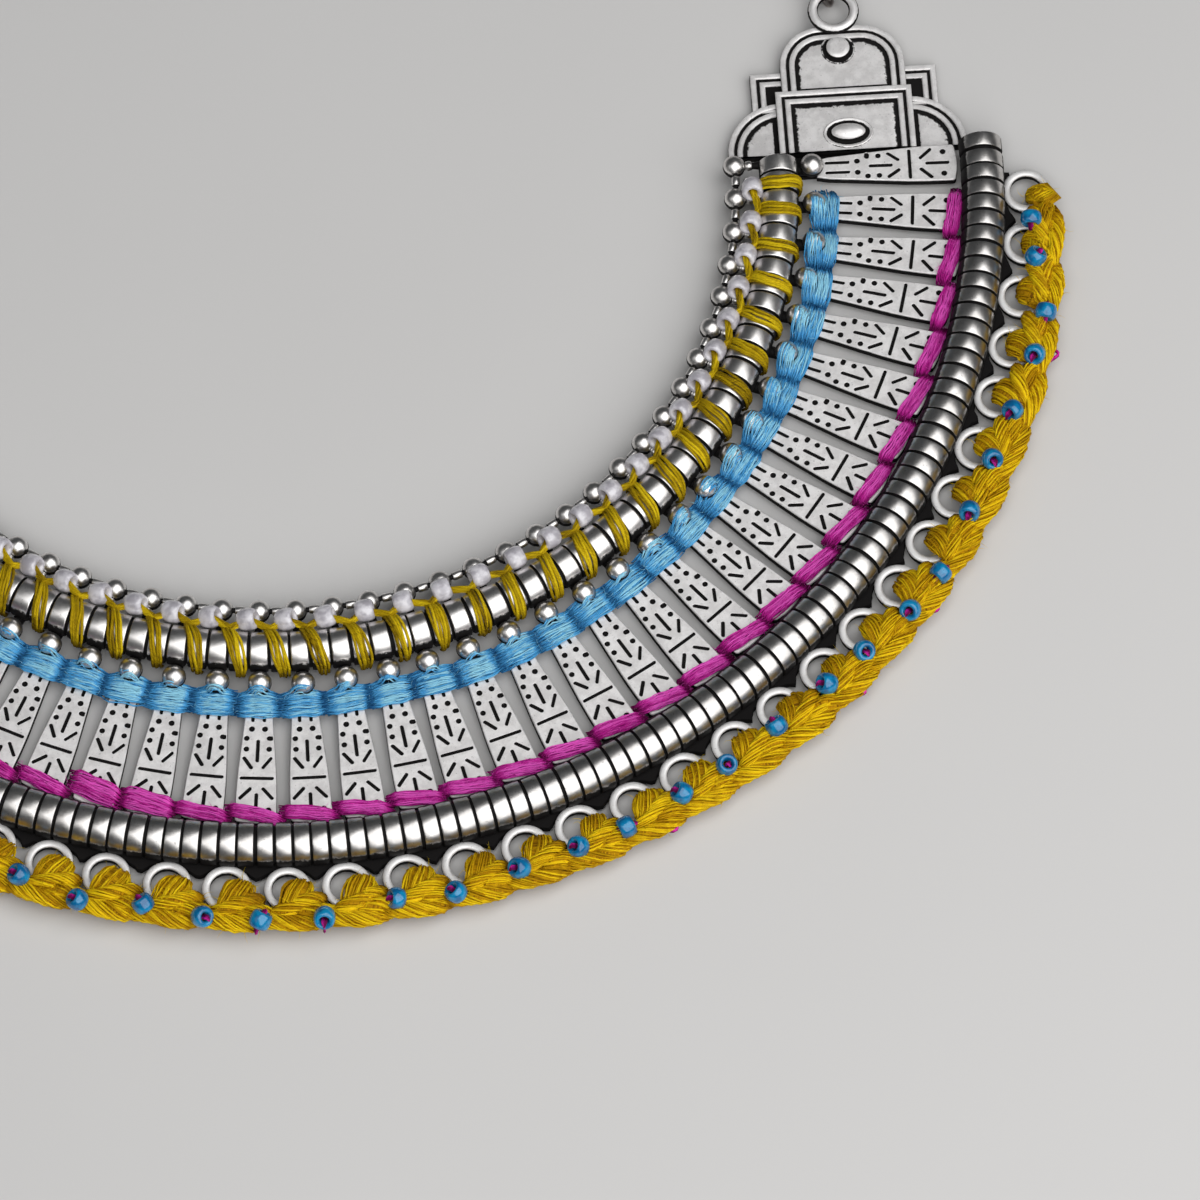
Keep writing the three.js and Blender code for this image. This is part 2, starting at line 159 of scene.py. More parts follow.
# The pearly beads and the floss wraps, in millimetres counterclockwise of each wedge's line.
STITCHES = (
    # wedge, bead, bead tilt in degrees, wrap at its crest, at its inner end, at its outer end
    (0, 1.9, 36, 2.4, 2.8, 3.0),
    (1, 1.7, 25, 1.9, 2.4, 2.7),
    (2, 1.6, 25, 3.3, 3.7, 4.0),
    (5, 1.6, 27, 2.7, 3.7, 2.8),
    (10, 1.5, 27, 3.0, 4.1, 2.5),
    (13, 0.6, 16, 3.0, 3.9, 2.5),
    (15, -0.2, 4, 2.9, 3.3, 2.5),
    (17, -0.9, -8, 2.7, 2.6, 2.7),
    (20, -1.6, -24, 2.2, 1.0, 3.0),
)
PEARL = {"radius": 64.25, "height": 4.85, "size": 1.54, "half_length": 1.28, "hole": 0.5}
BLUE_BEAD = {"size": 1.47, "half_length": 1.08, "hole": 0.5}
LINK = {"half_length": 3.25, "half_width": 2.1, "wire": 0.52, "touch": 1.0, "free": 1.4, "first": 1.3}
LINKS_PER_STRETCH = 6
STRETCHES_PER_SIDE = 3
# How each side's first and last links are tilted, and how high they lie. The rest lie crossed, to and fro.
FIRST_LINKS = ((90, 2.66), (-8, 2.56), (66, 2.64), (-38, 2.25))
LAST_LINKS = ((18, 2.4), (-86, 2.66))
LYING_LINK = (45, 2.25)
PLATE_RING = {"x": 77.8, "y": 24.0, "radius": 2.82, "wire": 0.7, "height": 2.3}
ROUND_BOSS = (78.0, 18.3)
OVAL_BOSS = (78.4, 5.1)

# ---- Places, from the frame ----


def box_mm(node):
    low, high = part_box(node)
    return np.array(low) / MM, np.array(high) / MM


WEDGE_NODES = sorted(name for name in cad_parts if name.startswith("wedge_"))
WEDGE_COUNT = len(WEDGE_NODES)
COLLAR_Y = box_mm("crochet_edge")[0][1] + CROCHET_OUTER
FLOOR_Z = cad_low[2] / MM
tube_low, tube_high = box_mm("inner_tube")
SHIFT = np.array([(tube_low[0] + tube_high[0]) / 2, COLLAR_Y, FLOOR_Z])
WEDGE_REACH = COLLAR_Y - box_mm(WEDGE_NODES[WEDGE_COUNT // 2])[0][1]
first_low, first_high = box_mm(WEDGE_NODES[0])
FIRST_WEDGE = math.asin(((first_low[1] + first_high[1]) / 2 - COLLAR_Y) / WEDGE_REACH)
WEDGE_PITCH = (TAU / 4 + FIRST_WEDGE) / (WEDGE_COUNT // 2)


def wedge_angle(index):
    return FIRST_WEDGE - index * WEDGE_PITCH


def loop_angle(index):
    return FIRST_LOOP - index * LOOP_PITCH


def table_row(table, index):
    """The other columns of a table at an index, which may fall between two rows. Past the first and last
    row they stay the same."""
    table = np.array(table, float)
    return [np.interp(index, table[:, 0], column) for column in table[:, 1:].T]


# ---- Mesh making ----


def unit(vectors):
    return vectors / np.maximum(np.linalg.norm(vectors, axis=-1, keepdims=True), 1e-9)


def at(radius, angle, height):
    """Points at a radius, angle and height round the collar's centre."""
    radius, angle, height = np.broadcast_arrays(radius, angle, height)
    return np.stack([radius * np.cos(angle), radius * np.sin(angle), height], -1)


def turned(x, y, z, angle):
    """Points turned round the collar's centre."""
    return np.stack([x * math.cos(angle) - y * math.sin(angle),
                     x * math.sin(angle) + y * math.cos(angle), z], -1)


def circle(steps):
    return np.arange(steps) * TAU / steps


def smooth(value):
    """Eases from 0 at 0 to 1 at 1, and stays there beyond."""
    value = np.clip(value, 0, 1)
    return value * value * (3 - 2 * value)


class Shape:
    """The points and faces of one piece, in millimetres round the collar's centre. Each point has a shade
    from 0 to 1, which its material reads as tarnish or as tone; in places it is painted shade or painted
    dark reflection."""

    def __init__(self):
        self.points, self.shades, self.faces, self.coords, self.looks = [], [], [], [], []
        self.count = 0

    def add(self, points, faces, shade=0.0, look=0, coords=()):
        """faces is a list of arrays, each of faces with the same number of corners."""
        points = np.asarray(points, float).reshape(-1, 3)
        self.points.append(points)
        self.shades.append(np.broadcast_to(shade, len(points)))
        for number, group in enumerate(faces):
            self.faces.append(group + self.count)
            self.coords.append(coords[number] if number < len(coords) else np.zeros(group.shape + (2,)))
            self.looks.append(np.full(len(group), look))
        self.count += len(points)

    def grids(self, rings, along=None, shade=0.0, look=0, closed=False, caps=True):
        """rings (s, r, c, 3): s tubes, each of r rings of c points. Shade is (s,), (s, r) or (s, r, c)."""
        count, rows, columns, _ = rings.shape
        if along is None:
            along = np.tile(np.arange(rows, dtype=float), (count, 1))
        shade = np.asarray(shade, float)
        while shade.ndim < 3:
            shade = shade[..., None]
        base = (np.arange(count) * rows * columns)[:, None, None, None]
        row, column = np.indices((rows if closed else rows - 1, columns))
        begin, step = along[:, :len(row), None], np.diff(along, axis=1).mean()
        corners, uv = [], []
        for down, right in ((0, 0), (0, 1), (1, 1), (1, 0)):
            corners.append((row + down) % rows * columns + (column + right) % columns)
            place = np.broadcast_arrays(column / columns + right / columns, begin + down * step)
            uv.append(np.stack(place, -1))
        faces = [(np.stack(corners, -1) + base).reshape(-1, 4)]
        if caps and not closed:
            ring = np.arange(columns) + base[:, 0, 0]
            faces += [ring[:, ::-1], ring + (rows - 1) * columns]
        shade = np.broadcast_to(shade, rings.shape[:3]).ravel()
        self.add(rings, faces, shade, look, [np.stack(uv, -2).reshape(-1, 4, 2)])

    def build(self, name, materials, slot, nodes, sharp):
        """Makes the mesh object, in metres in the frame, and ties it to the CAD."""
        mesh = bpy.data.meshes.new(name)
        points = (np.concatenate(self.points) + SHIFT) * MM
        sizes = np.concatenate([np.full(len(group), group.shape[1]) for group in self.faces])
        corners = np.concatenate([group.ravel() for group in self.faces])
        mesh.vertices.add(len(points))
        mesh.vertices.foreach_set("co", points.ravel())
        mesh.loops.add(len(corners))
        mesh.loops.foreach_set("vertex_index", corners)
        mesh.polygons.add(len(sizes))
        mesh.polygons.foreach_set("loop_start", np.concatenate(([0], np.cumsum(sizes)[:-1])))
        mesh.polygons.foreach_set("material_index", np.concatenate(self.looks))
        mesh.polygons.foreach_set("use_smooth", np.ones(len(sizes), bool))
        mesh.update(calc_edges=True)
        uv = mesh.uv_layers.new(name="along")
        uv.data.foreach_set("uv", np.concatenate([group.reshape(-1, 2) for group in self.coords]).ravel())
        shade = mesh.attributes.new("shade", "FLOAT", "POINT")
        shade.data.foreach_set("value", np.concatenate(self.shades).astype(np.float32))
        mesh.set_sharp_from_angle(angle=math.radians(sharp))
        for material in materials:
            mesh.materials.append(material)
        piece = link_object(name, mesh)
        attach(piece, ROOT)
        if nodes:
            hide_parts(*nodes)


def link_object(name, data):
    item = bpy.data.objects.new(name, data)
    bpy.context.scene.collection.objects.link(item)
    return item


def frame_of(paths, ref, closed=False):
    """The side and upward directions along each path."""
    if closed:
        step = np.roll(paths, -1, 1) - np.roll(paths, 1, 1)
    else:
        step = np.gradient(paths, axis=1)
    tangent = unit(step)
    side = unit(np.cross(ref, tangent))
    return side, np.cross(tangent, side)


def tubes(shape, paths, size, sides, ref=UP, flat=1.0, shade=0.5, closed=False):
    """Round or flattened tubes along paths (s, r, 3). Size is the radius: a number, (s, 1) or (s, r)."""
    paths = np.asarray(paths, float)
    paths = paths if paths.ndim == 3 else paths[None]
    side, up = frame_of(paths, ref, closed)
    turn = circle(sides)
    size = np.broadcast_to(size, paths.shape[:2])[..., None, None]
    across = np.cos(turn)[:, None] * side[:, :, None] + flat * np.sin(turn)[:, None] * up[:, :, None]
    lengths = np.linalg.norm(np.diff(paths, axis=1), axis=-1)
    along = np.concatenate([np.zeros((len(paths), 1)), np.cumsum(lengths, 1)], 1)
    shape.grids(paths[:, :, None] + size * across, along, shade, 0, closed)


def spin(shape, profile, origins, axes, ref, sides, shade=0.0, look=0, closed=False):
    """Turned shapes: profile rows are (along the axis, radius), set at each origin on each axis. Shade is a
    number, or one for each row."""
    origins, axes = np.atleast_2d(origins), unit(np.atleast_2d(axes))
    along, radius = np.array(profile, float).T
    side = unit(np.cross(ref, axes))
    up = np.cross(axes, side)
    turn = circle(sides)
    round_axis = np.cos(turn)[:, None] * side[:, None] + np.sin(turn)[:, None] * up[:, None]
    centres = origins[:, None] + along[None, :, None] * axes[:, None]
    rings = centres[:, :, None] + radius[None, :, None, None] * round_axis[:, None]
    shape.grids(rings, None, np.atleast_2d(shade), look, closed)


def barrelled_tube(shape, tube, pitch, places, round_tarnish_and_reflection, core):
    """Barrels bent along a tube's arc, on a dark core. The tube's rim table rounds their ends."""
    size, half = tube["section"], (pitch - tube["groove"]) / 2
    rim = [(half - inward, size - drop) for inward, drop, _ in tube["rim"]]
    profile = [(-along, radius) for along, radius in rim] + rim[::-1]
    edge_shade = [dark for _, _, dark in tube["rim"]]
    edge_shade = np.array(edge_shade + edge_shade[::-1])
    offset, reach = np.array(profile).T
    turn = circle(tube["sides"])
    angle = places[:, None, None] - offset[None, :, None] / tube["radius"]
    reach = reach[None, :, None]
    rings = at(tube["radius"] + reach * np.cos(turn), angle, tube["height"] + reach * np.sin(turn))
    # The barrels' flanks are darkened round the section: tarnish and painted dark reflection.
    shade = np.maximum(edge_shade[:, None], round_tarnish_and_reflection[None, :])[None]
    shape.grids(rings, None, shade)
    tubes(shape, at(tube["radius"], core, tube["height"]), size - tube["core"], 14, shade=1.0)


def ball_profile(size):
    """Half a circle, from one pole to the other."""
    turn = np.linspace(0, 1, BALL_ROWS) * math.pi
    return [(-size * math.cos(a), max(size * math.sin(a), 0.02)) for a in turn]


def ball_dark_reflection():
    """Painted dark reflection and shade, from the foot of an upright ball to a little above its middle."""
    height = -np.cos(np.linspace(0, 1, BALL_ROWS) * math.pi)
    return 0.8 * smooth((0.42 - height) / 0.35)


def bead_profile(size, half_length, hole):
    """A closed section of a round-shouldered bead with a hole."""
    rows = []
    for turn in circle(BEAD_STEPS) - math.pi / 2:
        along, out = math.sin(turn), math.cos(turn)
        along = math.copysign(abs(along) ** 0.92, along)
        out = math.copysign(abs(out) ** 0.9, out)
        rows.append((half_length * along, (size + hole) / 2 + (size - hole) / 2 * out))
    return rows


# ---- Materials ----


class Graph:
    """A material with the few node shortcuts that the finishes below share."""

    def __init__(self, name):
        self.material = bpy.data.materials.new(name)
        self.material.use_nodes = True
        self.tree = self.material.node_tree
        self.shader = self.tree.nodes["Principled BSDF"]

    def node(self, kind, inputs=None, **settings):
        node = self.tree.nodes.new(kind)
        for key, value in settings.items():
            setattr(node, key, value)
        for key, value in (inputs or {}).items():
            self.feed(node.inputs[key], value)
        return node

    def feed(self, socket, value):
        if isinstance(value, bpy.types.NodeSocket):
            self.tree.links.new(value, socket)
        else:
            socket.default_value = value

    def set(self, **values):
        for key, value in values.items():
            self.feed(self.shader.inputs[key.replace("_", " ")], value)

    def shade(self):
        return self.node("ShaderNodeAttribute", attribute_name="shade").outputs["Fac"]

    def place(self):
        """Object coordinates in millimetres, moved by a random amount for each object."""
        where = self.node("ShaderNodeTexCoord").outputs["Object"]
        random = self.node("ShaderNodeObjectInfo").outputs["Random"]
        shift = self.math("MULTIPLY", random, 40.0)
        scaled = self.vector("MULTIPLY", {0: where, 1: (1 / MM,) * 3})
        return self.vector("ADD", {0: scaled, 1: shift})

    def strand(self, around, slant):
        """Coordinates that run along a strand, stretched so that noise becomes fibres."""
        uv = self.node("ShaderNodeUVMap", uv_map="along").outputs[0]
        parts = self.node("ShaderNodeSeparateXYZ", {0: uv})
        slanted = self.math("MULTIPLY_ADD", parts.outputs[1], slant, parts.outputs[0])
        u = self.math("MULTIPLY", slanted, around)
        v = self.math("MULTIPLY", parts.outputs[1], 0.6)
        where = self.node("ShaderNodeTexCoord").outputs["Object"]
        w = self.vector("SCALE", {0: where, "Scale": 160.0})
        flat = self.node("ShaderNodeCombineXYZ", {0: u, 1: v}).outputs[0]
        return self.vector("ADD", {0: flat, 1: w})

    def noise(self, where, scale, detail=2.0, rough=0.5):
        inputs = {"Vector": where, "Scale": scale, "Detail": detail, "Roughness": rough}
        return self.node("ShaderNodeTexNoise", inputs).outputs["Fac"]

    def vector(self, operation, inputs):
        return self.node("ShaderNodeVectorMath", inputs, operation=operation).outputs[0]

    def math(self, operation, *values):
        return self.node("ShaderNodeMath", dict(enumerate(values)), operation=operation).outputs[0]

    def spread(self, value, low, high, start=0.0, end=1.0):
        """Maps low..high to start..end, smoothly and clamped."""
        inputs = {0: value, 1: low, 2: high, 3: start, 4: end}
        return self.node("ShaderNodeMapRange", inputs, interpolation_type="SMOOTHSTEP").outputs[0]

    def blend(self, amount, first, second):
        return self.node("ShaderNodeMix", {0: amount, 6: first, 7: second}, data_type="RGBA").outputs[2]

    def bump(self, height, strength, distance=0.05):
        inputs = {"Height": height, "Strength": strength, "Distance": distance * MM}
        self.set(Normal=self.node("ShaderNodeBump", inputs).outputs[0])


def colour(red, green, blue):
    return (red, green, blue, 1.0)


# Near-black: the oxide in the silver's hollows, and also the colour of painted shade and painted dark
# reflection.
OXIDE_AND_PAINTED_SHADE = colour(0.012, 0.011, 0.011)


def silver(name, tone, dull, roughness, metal, grain, relief, ragged_reach=0.7):
    """Antique silver: polished where it stands proud, and near-black where its shade is high. That shade is
    tarnish, and in places painted shade and painted dark reflection.
    """
    graph = Graph(name)
    place = graph.place()
    ragged = graph.noise(place, 1.6, 5.0, 0.65)
    fine = graph.noise(place, grain, 3.0, 0.6)
    cloud = graph.noise(place, 0.5, 4.0, 0.65)
    edge = graph.math("MULTIPLY_ADD", ragged, ragged_reach, -ragged_reach / 2)
    dark = graph.spread(graph.math("ADD", graph.shade(), edge), 0.42, 0.62)
    bright = graph.blend(graph.spread(cloud, 0.35, 0.65), tone, dull)
    speck = graph.spread(fine, 0.62, 0.74, 0.0, 0.45)
    worn = graph.blend(speck, bright, colour(0.16, 0.15, 0.15))
    graph.set(Base_Color=graph.blend(dark, worn, OXIDE_AND_PAINTED_SHADE))
    graph.set(Metallic=graph.spread(dark, 0.0, 1.0, metal, 0.25))
    rough = graph.math("MULTIPLY_ADD", fine, 0.16, roughness - 0.08)
    graph.set(Roughness=graph.math("MULTIPLY_ADD", dark, 0.25, rough))
    graph.set(Specular_IOR_Level=graph.spread(dark, 0.0, 1.0, 0.5, 0.12))
    graph.bump(fine, relief)
    return graph.material


def thread(name, dark, mid, light, around, slant, gloss, relief):
    """Spun fibre: streaks along the strand, with a tone from the shade attribute, which holds each strand's
    own tone and painted light and shade.
    """
    graph = Graph(name)
    streak = graph.noise(graph.strand(around, slant), 1.0, 4.0, 0.6)
    cloud = graph.noise(graph.place(), 0.3, 2.0)
    tone = graph.math("MULTIPLY_ADD", graph.shade(), 0.55, -0.275)
    value = graph.math("ADD", streak, tone)
    value = graph.math("MULTIPLY_ADD", cloud, 0.2, graph.math("SUBTRACT", value, 0.1))
    low = graph.blend(graph.spread(value, 0.18, 0.5), dark, mid)
    graph.set(Base_Color=graph.blend(graph.spread(value, 0.5, 0.72), low, light))
    graph.set(Roughness=0.7, Specular_IOR_Level=gloss)
    graph.bump(streak, relief, 0.12)
    return graph.material


def glass(name, deep, pale, roughness, coat, swirl):
    """Glazed bead: slightly uneven colour under a clear coat."""
    graph = Graph(name)
    cloud = graph.noise(graph.place(), swirl, 3.0)
    graph.set(Base_Color=graph.blend(graph.spread(cloud, 0.35, 0.65), deep, pale))
    graph.set(Roughness=roughness, Coat_Weight=coat, Coat_Roughness=0.08)
    graph.bump(cloud, 0.06, 0.1)
    return graph.material


BARREL_SILVER = silver("barrel_silver", colour(0.84, 0.82, 0.80), colour(0.70, 0.68, 0.66),
                       roughness=0.33, metal=1.0, grain=2.2, relief=0.03)
RING_SILVER = silver("ring_silver", colour(0.74, 0.72, 0.70), colour(0.58, 0.56, 0.54),
                     roughness=0.31, metal=1.0, grain=2.2, relief=0.03)
FACE_SILVER = silver("face_silver", colour(0.97, 0.95, 0.94), colour(0.80, 0.78, 0.77),
                     roughness=0.52, metal=0.6, grain=3.2, relief=0.5, ragged_reach=0.9)
LOOP_SILVER = silver("loop_silver", colour(0.98, 0.97, 0.96), colour(0.86, 0.84, 0.83),
                     roughness=0.45, metal=0.5, grain=3.0, relief=0.2)
DARK_METAL = silver("dark_metal", colour(0.40, 0.36, 0.33), colour(0.24, 0.21, 0.20),
                    roughness=0.32, metal=1.0, grain=4.0, relief=0.25)
# Near-black metal: the oxide in the stamped marks, and the sheet between the loops that stands partly for
# painted shadow.
TARNISH_AND_SHADOW_METAL = silver("tarnish_and_shadow_metal", OXIDE_AND_PAINTED_SHADE, OXIDE_AND_PAINTED_SHADE, roughness=0.7, metal=0.1, grain=6.0, relief=0.4)
BLUE_FLOSS = thread("blue_floss", colour(0.010, 0.10, 0.27), colour(0.09, 0.45, 0.87),
                    colour(0.38, 0.80, 1.0), around=11.0, slant=0.35, gloss=0.18, relief=0.9)
MAGENTA_FLOSS = thread("magenta_floss", colour(0.13, 0.001, 0.06), colour(0.66, 0.018, 0.37),
                       colour(1.0, 0.13, 0.70), around=11.0, slant=0.6, gloss=0.15, relief=0.9)
OLIVE_FLOSS = thread("olive_floss", colour(0.11, 0.06, 0.0005), colour(0.44, 0.295, 0.002),
                     colour(0.75, 0.55, 0.009), around=11.0, slant=0.5, gloss=0.12, relief=0.9)
GOLD_YARN = thread("gold_yarn", colour(0.13, 0.046, 0.0003), colour(0.56, 0.30, 0.001),
                   colour(0.98, 0.69, 0.008), around=12.0, slant=0.5, gloss=0.12, relief=1.0)
PEARL_GLASS = glass("pearl_glass", colour(0.44, 0.42, 0.46), colour(0.72, 0.70, 0.74),
                    roughness=0.08, coat=1.0, swirl=0.8)
BLUE_GLASS = glass("blue_glass", colour(0.001, 0.11, 0.29), colour(0.003, 0.26, 0.52),
                   roughness=0.16, coat=0.7, swirl=0.9)


# ---- Wedges ----


def wedge_outline(inset):
    """The wedge's plan, counterclockwise: (radius, across)."""
    radii = np.linspace(WEDGE["neck"], WEDGE["end"] - WEDGE["corner"] - 0.3, 12)
    side = list(zip(radii, *table_row(WEDGE_HALF, radii)))
    corner = WEDGE["corner"]
    centre_r, centre_t = side[-1][0], side[-1][1] - corner
    for step in range(1, 5):
        turn = math.radians(90 - 20 * step)
        side.append((centre_r + corner * math.cos(turn), centre_t + corner * math.sin(turn)))
    side.append((WEDGE["end"] - 0.06, 1.1))
    side = np.array(side)
    right = side * (1, -1)
    points = np.concatenate([right, [(WEDGE["end"], 0.0)], side[::-1]])
    return inset_loop(points, inset)


def inset_loop(points, inset):
    """Moves a counterclockwise outline inwards by a small distance, square to its sides."""
    before, after = points - np.roll(points, 1, 0), np.roll(points, -1, 0) - points
    first, second = unit(before), unit(after)
    normal = unit(np.stack([-(first + second)[:, 1], (first + second)[:, 0]], -1))
    square = np.stack([-first[:, 1], first[:, 0]], -1)
    reach = inset / np.maximum((normal * square).sum(-1), 0.5)
    return points + normal * reach[:, None]


def capsule(mark, grow):
    """A line with round ends, counterclockwise."""
    steps = 5
    start, end = np.array(mark[0:2]), np.array(mark[2:4])
    along = end - start
    heading = math.atan2(along[1], along[0]) if np.hypot(*along) > 0 else 0.0
    size = mark[4] + grow
    points = []
    for centre, turn in ((end, heading - TAU / 4), (start, heading + TAU / 4)):
        for step in range(steps):
            angle = turn + math.pi * step / steps
            points.append(centre + size * np.array([math.cos(angle), math.sin(angle)]))
    return np.array(points)


def stamped_face(outline, height):
    """Triangles of the wedge's face with its sunk marks: points, faces, and which faces are dark."""
    flat, heights, loops, sunk = [], [], [], []
    rings = [(outline, height, False)]
    for mark in MARKS:
        rings.append((capsule(mark, 0.05), height, False))
        rings.append((capsule(mark, 0.0), height - 0.05, True))
        rings.append((capsule(mark, -0.03), height - MARK_DEPTH, True))
    for points, level, dark in rings:
        start = len(flat)
        flat += [Vector(point) for point in points]
        heights += [level] * len(points)
        loops.append(list(range(start, len(flat))))
        sunk.append(dark)
    cut = geometry.delaunay_2d_cdt(flat, [], loops, 1, 1e-6)
    places, _, triangles, source, _, holders = cut
    levels = [heights[ids[0]] if ids else height for ids in source]
    points = [(place[0], place[1], level) for place, level in zip(places, levels)]
    dark = [any(sunk[holder] for holder in ids) for ids in holders]
    return np.array(points), np.array(triangles), np.array(dark)


# The side walls are near-black up to the bevel: partly oxide, partly painted shade that darkens the gaps
# between the wedges.
WEDGE_ROWS = (
    # inset, height, shade
    (0.14, WEDGE["underside"], 1.0),
    (0.0, WEDGE["underside"] + 0.14, 1.0),
    (0.0, WEDGE["face"] - 0.30, 1.0),
    (0.03, WEDGE["face"] - 0.12, 0.2),
    (0.07, WEDGE["face"] - 0.05, 0.0),
    (0.15, WEDGE["face"], 0.0),
)


def wedge_mesh():
    """A wedge along the collar's centre line: face, marks and ball in materials 0, 1 and 2."""
    shape = Shape()
    rings = [np.insert(wedge_outline(inset), 2, height, 1) for inset, height, _ in WEDGE_ROWS]
    shape.grids(np.array(rings)[None], None, np.array(WEDGE_ROWS)[None, :, 2], caps=False)
    # The underside is near-black: painted shade under the wedge, with some oxide.
    shape.add(rings[0], [np.arange(len(rings[0]))[None, ::-1]], 0.9)
    points, triangles, dark = stamped_face(rings[-1][:, :2], WEDGE["face"])
    shape.add(points, [triangles[~dark]])
    shape.add(points, [triangles[dark]], 1.0, look=1)
    radius = NECK_BALL["radius"]
    ball, neck = (radius, 0, NECK_BALL["height"]), (radius, 0, WEDGE["face"] - 0.7)
    # The neck ball's lower part carries painted dark reflection and shade.
    spin(shape, ball_profile(NECK_BALL["size"]), ball, UP, OUT, 24, ball_dark_reflection(), look=2)
    # The neck under the ball and the stalk in towards the tube are near-black: partly oxide, partly painted
    # shade in the gap between the tube and the blue band.
    spin(shape, [(0.0, 0.95), (0.5, 1.0), (0.9, 0.8), (1.6, 0.75)], neck, UP, OUT, 14, 1.0, look=2)
    stalk = [(-3.4, 0.7), (-2.6, 0.85), (-1.2, 0.75), (0.6, 0.8)]
    spin(shape, stalk, (radius, 0, 2), OUT, UP, 12, 1.0, look=2)
    return shape


def make_wedges():
    """One shape, made along the collar's centre line, and turned to each wedge's place."""
    rng = np.random.default_rng(3)
    shape = wedge_mesh()
    blocks = shape.points
    middle = (WEDGE["neck"] + WEDGE["end"]) / 2
    materials = [FACE_SILVER, TARNISH_AND_SHADOW_METAL, BARREL_SILVER]
    for index, node in enumerate(WEDGE_NODES):
        across, out = table_row(STRAY, index)[:2]
        across += rng.normal(0, 0.10)
        out += rng.normal(0, 0.08)
        sway, lift = rng.normal(0, 0.006), rng.normal(0, 0.006)
        shape.points = []
        for block in blocks:
            x, y, z = (block + (out, across, 0)).T
            beyond = x - middle
            shape.points.append(turned(x, y + sway * beyond, z + lift * beyond, wedge_angle(index)))
        shape.build("stamped_" + node, materials, "antique_silver", [node], sharp=30.0)


# ---- Inner tube ----


def tarnish_and_dark_reflection(sides, dark_from, dark_to, strength=0.75):
    """Tarnish and painted dark reflection on a section's flanks, by the angle round it, from 0 at the outer
    side through 90 degrees at the top.
    """
    turn = np.degrees(circle(sides))
    turn = np.where(turn > 180, turn - 360, turn)
    outer = smooth((dark_from - turn) / 30)
    inner = smooth((turn - dark_to) / 25)
    return strength * np.maximum(outer, inner)


BALL_BEAD = np.array((
    # out from the ball's centre, radius, shade
    (1.30, 0.40, 1.0),
    (1.46, 0.45, 0.9),
    (1.62, 0.62, 0.2),
    (1.95, 0.70, 0.0),
    (2.30, 0.64, 0.1),
    (2.50, 0.45, 0.9),
    (3.60, 0.60, 1.0),
))
BALL_JOINT = np.array((
    # along from its middle, radius, shade
    (1.20, 0.34, 1.0),
    (0.66, 0.36, 1.0),
    (0.64, 0.50, 0.6),
    (0.56, 0.56, 0.0),
))


def make_inner_tube():
    """A barrel at each wedge and one between each two, with a row of balls along the throat."""
    rng = np.random.default_rng(5)
    tube = INNER_TUBE
    shape = Shape()
    middles = [wedge_angle(index) for index in range(WEDGE_COUNT)]
    between = [wedge_angle(index + 0.5) for index in range(WEDGE_COUNT - 1)]
    places = np.array(middles + between) + rng.normal(0, 0.0006, 2 * WEDGE_COUNT - 1)
    core = np.linspace(wedge_angle(0) + 0.012, wedge_angle(WEDGE_COUNT - 1) - 0.012, 160)
    # Tarnish and painted dark reflection on the barrels' flanks.
    round_tarnish_and_reflection = tarnish_and_dark_reflection(tube["sides"], 46, 142)
    barrelled_tube(shape, tube, WEDGE_PITCH * tube["radius"] / 2, places, round_tarnish_and_reflection, core)
    astray = np.array([table_row(STRAY, index)[2] for index in range(WEDGE_COUNT)])
    angles = np.array(middles) + (astray + rng.normal(0, 0.06, WEDGE_COUNT)) / INNER_BALL["radius"]
    throat_balls(shape, angles)
    shape.build("inner_barrels", [BARREL_SILVER], "antique_silver", ["inner_tube"], sharp=40.0)


def throat_balls(shape, angles):
    """Silver balls, each with a short bead out to the tube, and a joint between each two."""
    radius, height = INNER_BALL["radius"], INNER_BALL["height"]
    centres = at(radius, angles, height)
    # The throat balls are a little darker all over, and their lower part carries painted dark reflection and
    # shade.
    spin(shape, ball_profile(INNER_BALL["size"]), centres, UP, OUT, 20, 0.3 + 0.7 * ball_dark_reflection())
    bead, bead_shade = BALL_BEAD[:, :2], BALL_BEAD[:, 2]
    spin(shape, bead, centres, at(1.0, angles, 0.0), UP, 14, bead_shade)
    half = BALL_JOINT * (-1, 1, 1)
    joint = np.concatenate([half, BALL_JOINT[::-1]])
    links = (angles[1:] + angles[:-1]) / 2
    spin(shape, joint[:, :2], at(radius + 0.1, links, height + 0.35), at(1.0, links - TAU / 4, 0.0), UP, 14,
         joint[:, 2])


def pearl_place(index):
    """Radius and angle of a pearly bead, or of the floss there."""
    bead = table_row(STITCHES, index)[0]
    radius = PEARL["radius"] + table_row(STRAY, index)[3]
    return radius, wedge_angle(index) + bead / radius


def make_pearls():
    rng = np.random.default_rng(7)
    shape = Shape()
    origins, axes = [], []
    for index in range(1, WEDGE_COUNT):
        radius, angle = pearl_place(index)
        tilt = math.radians(table_row(STITCHES, index)[1] + rng.normal(0, 5))
        clockwise = at(1.0, angle - TAU / 4 + rng.normal(0, 0.08), 0.0)
        axes.append(clockwise * math.cos(tilt) + UP * math.sin(tilt))
        origins.append(at(radius, angle, PEARL["height"]))
    profile = bead_profile(PEARL["size"], PEARL["half_length"], PEARL["hole"])
    spin(shape, profile, origins, axes, at(1.0, 0.3, 0.2), 24, closed=True)
    shape.build("pearl_beads", [PEARL_GLASS], "pearl_bead", (), sharp=60.0)


WRAP = {"strands": 6, "spacing": 0.31, "size": 0.205, "steps": 18}
BEAD_THREAD = {"strands": 5, "turns": 45, "reach": 0.31, "size": 0.23, "steps": 760}


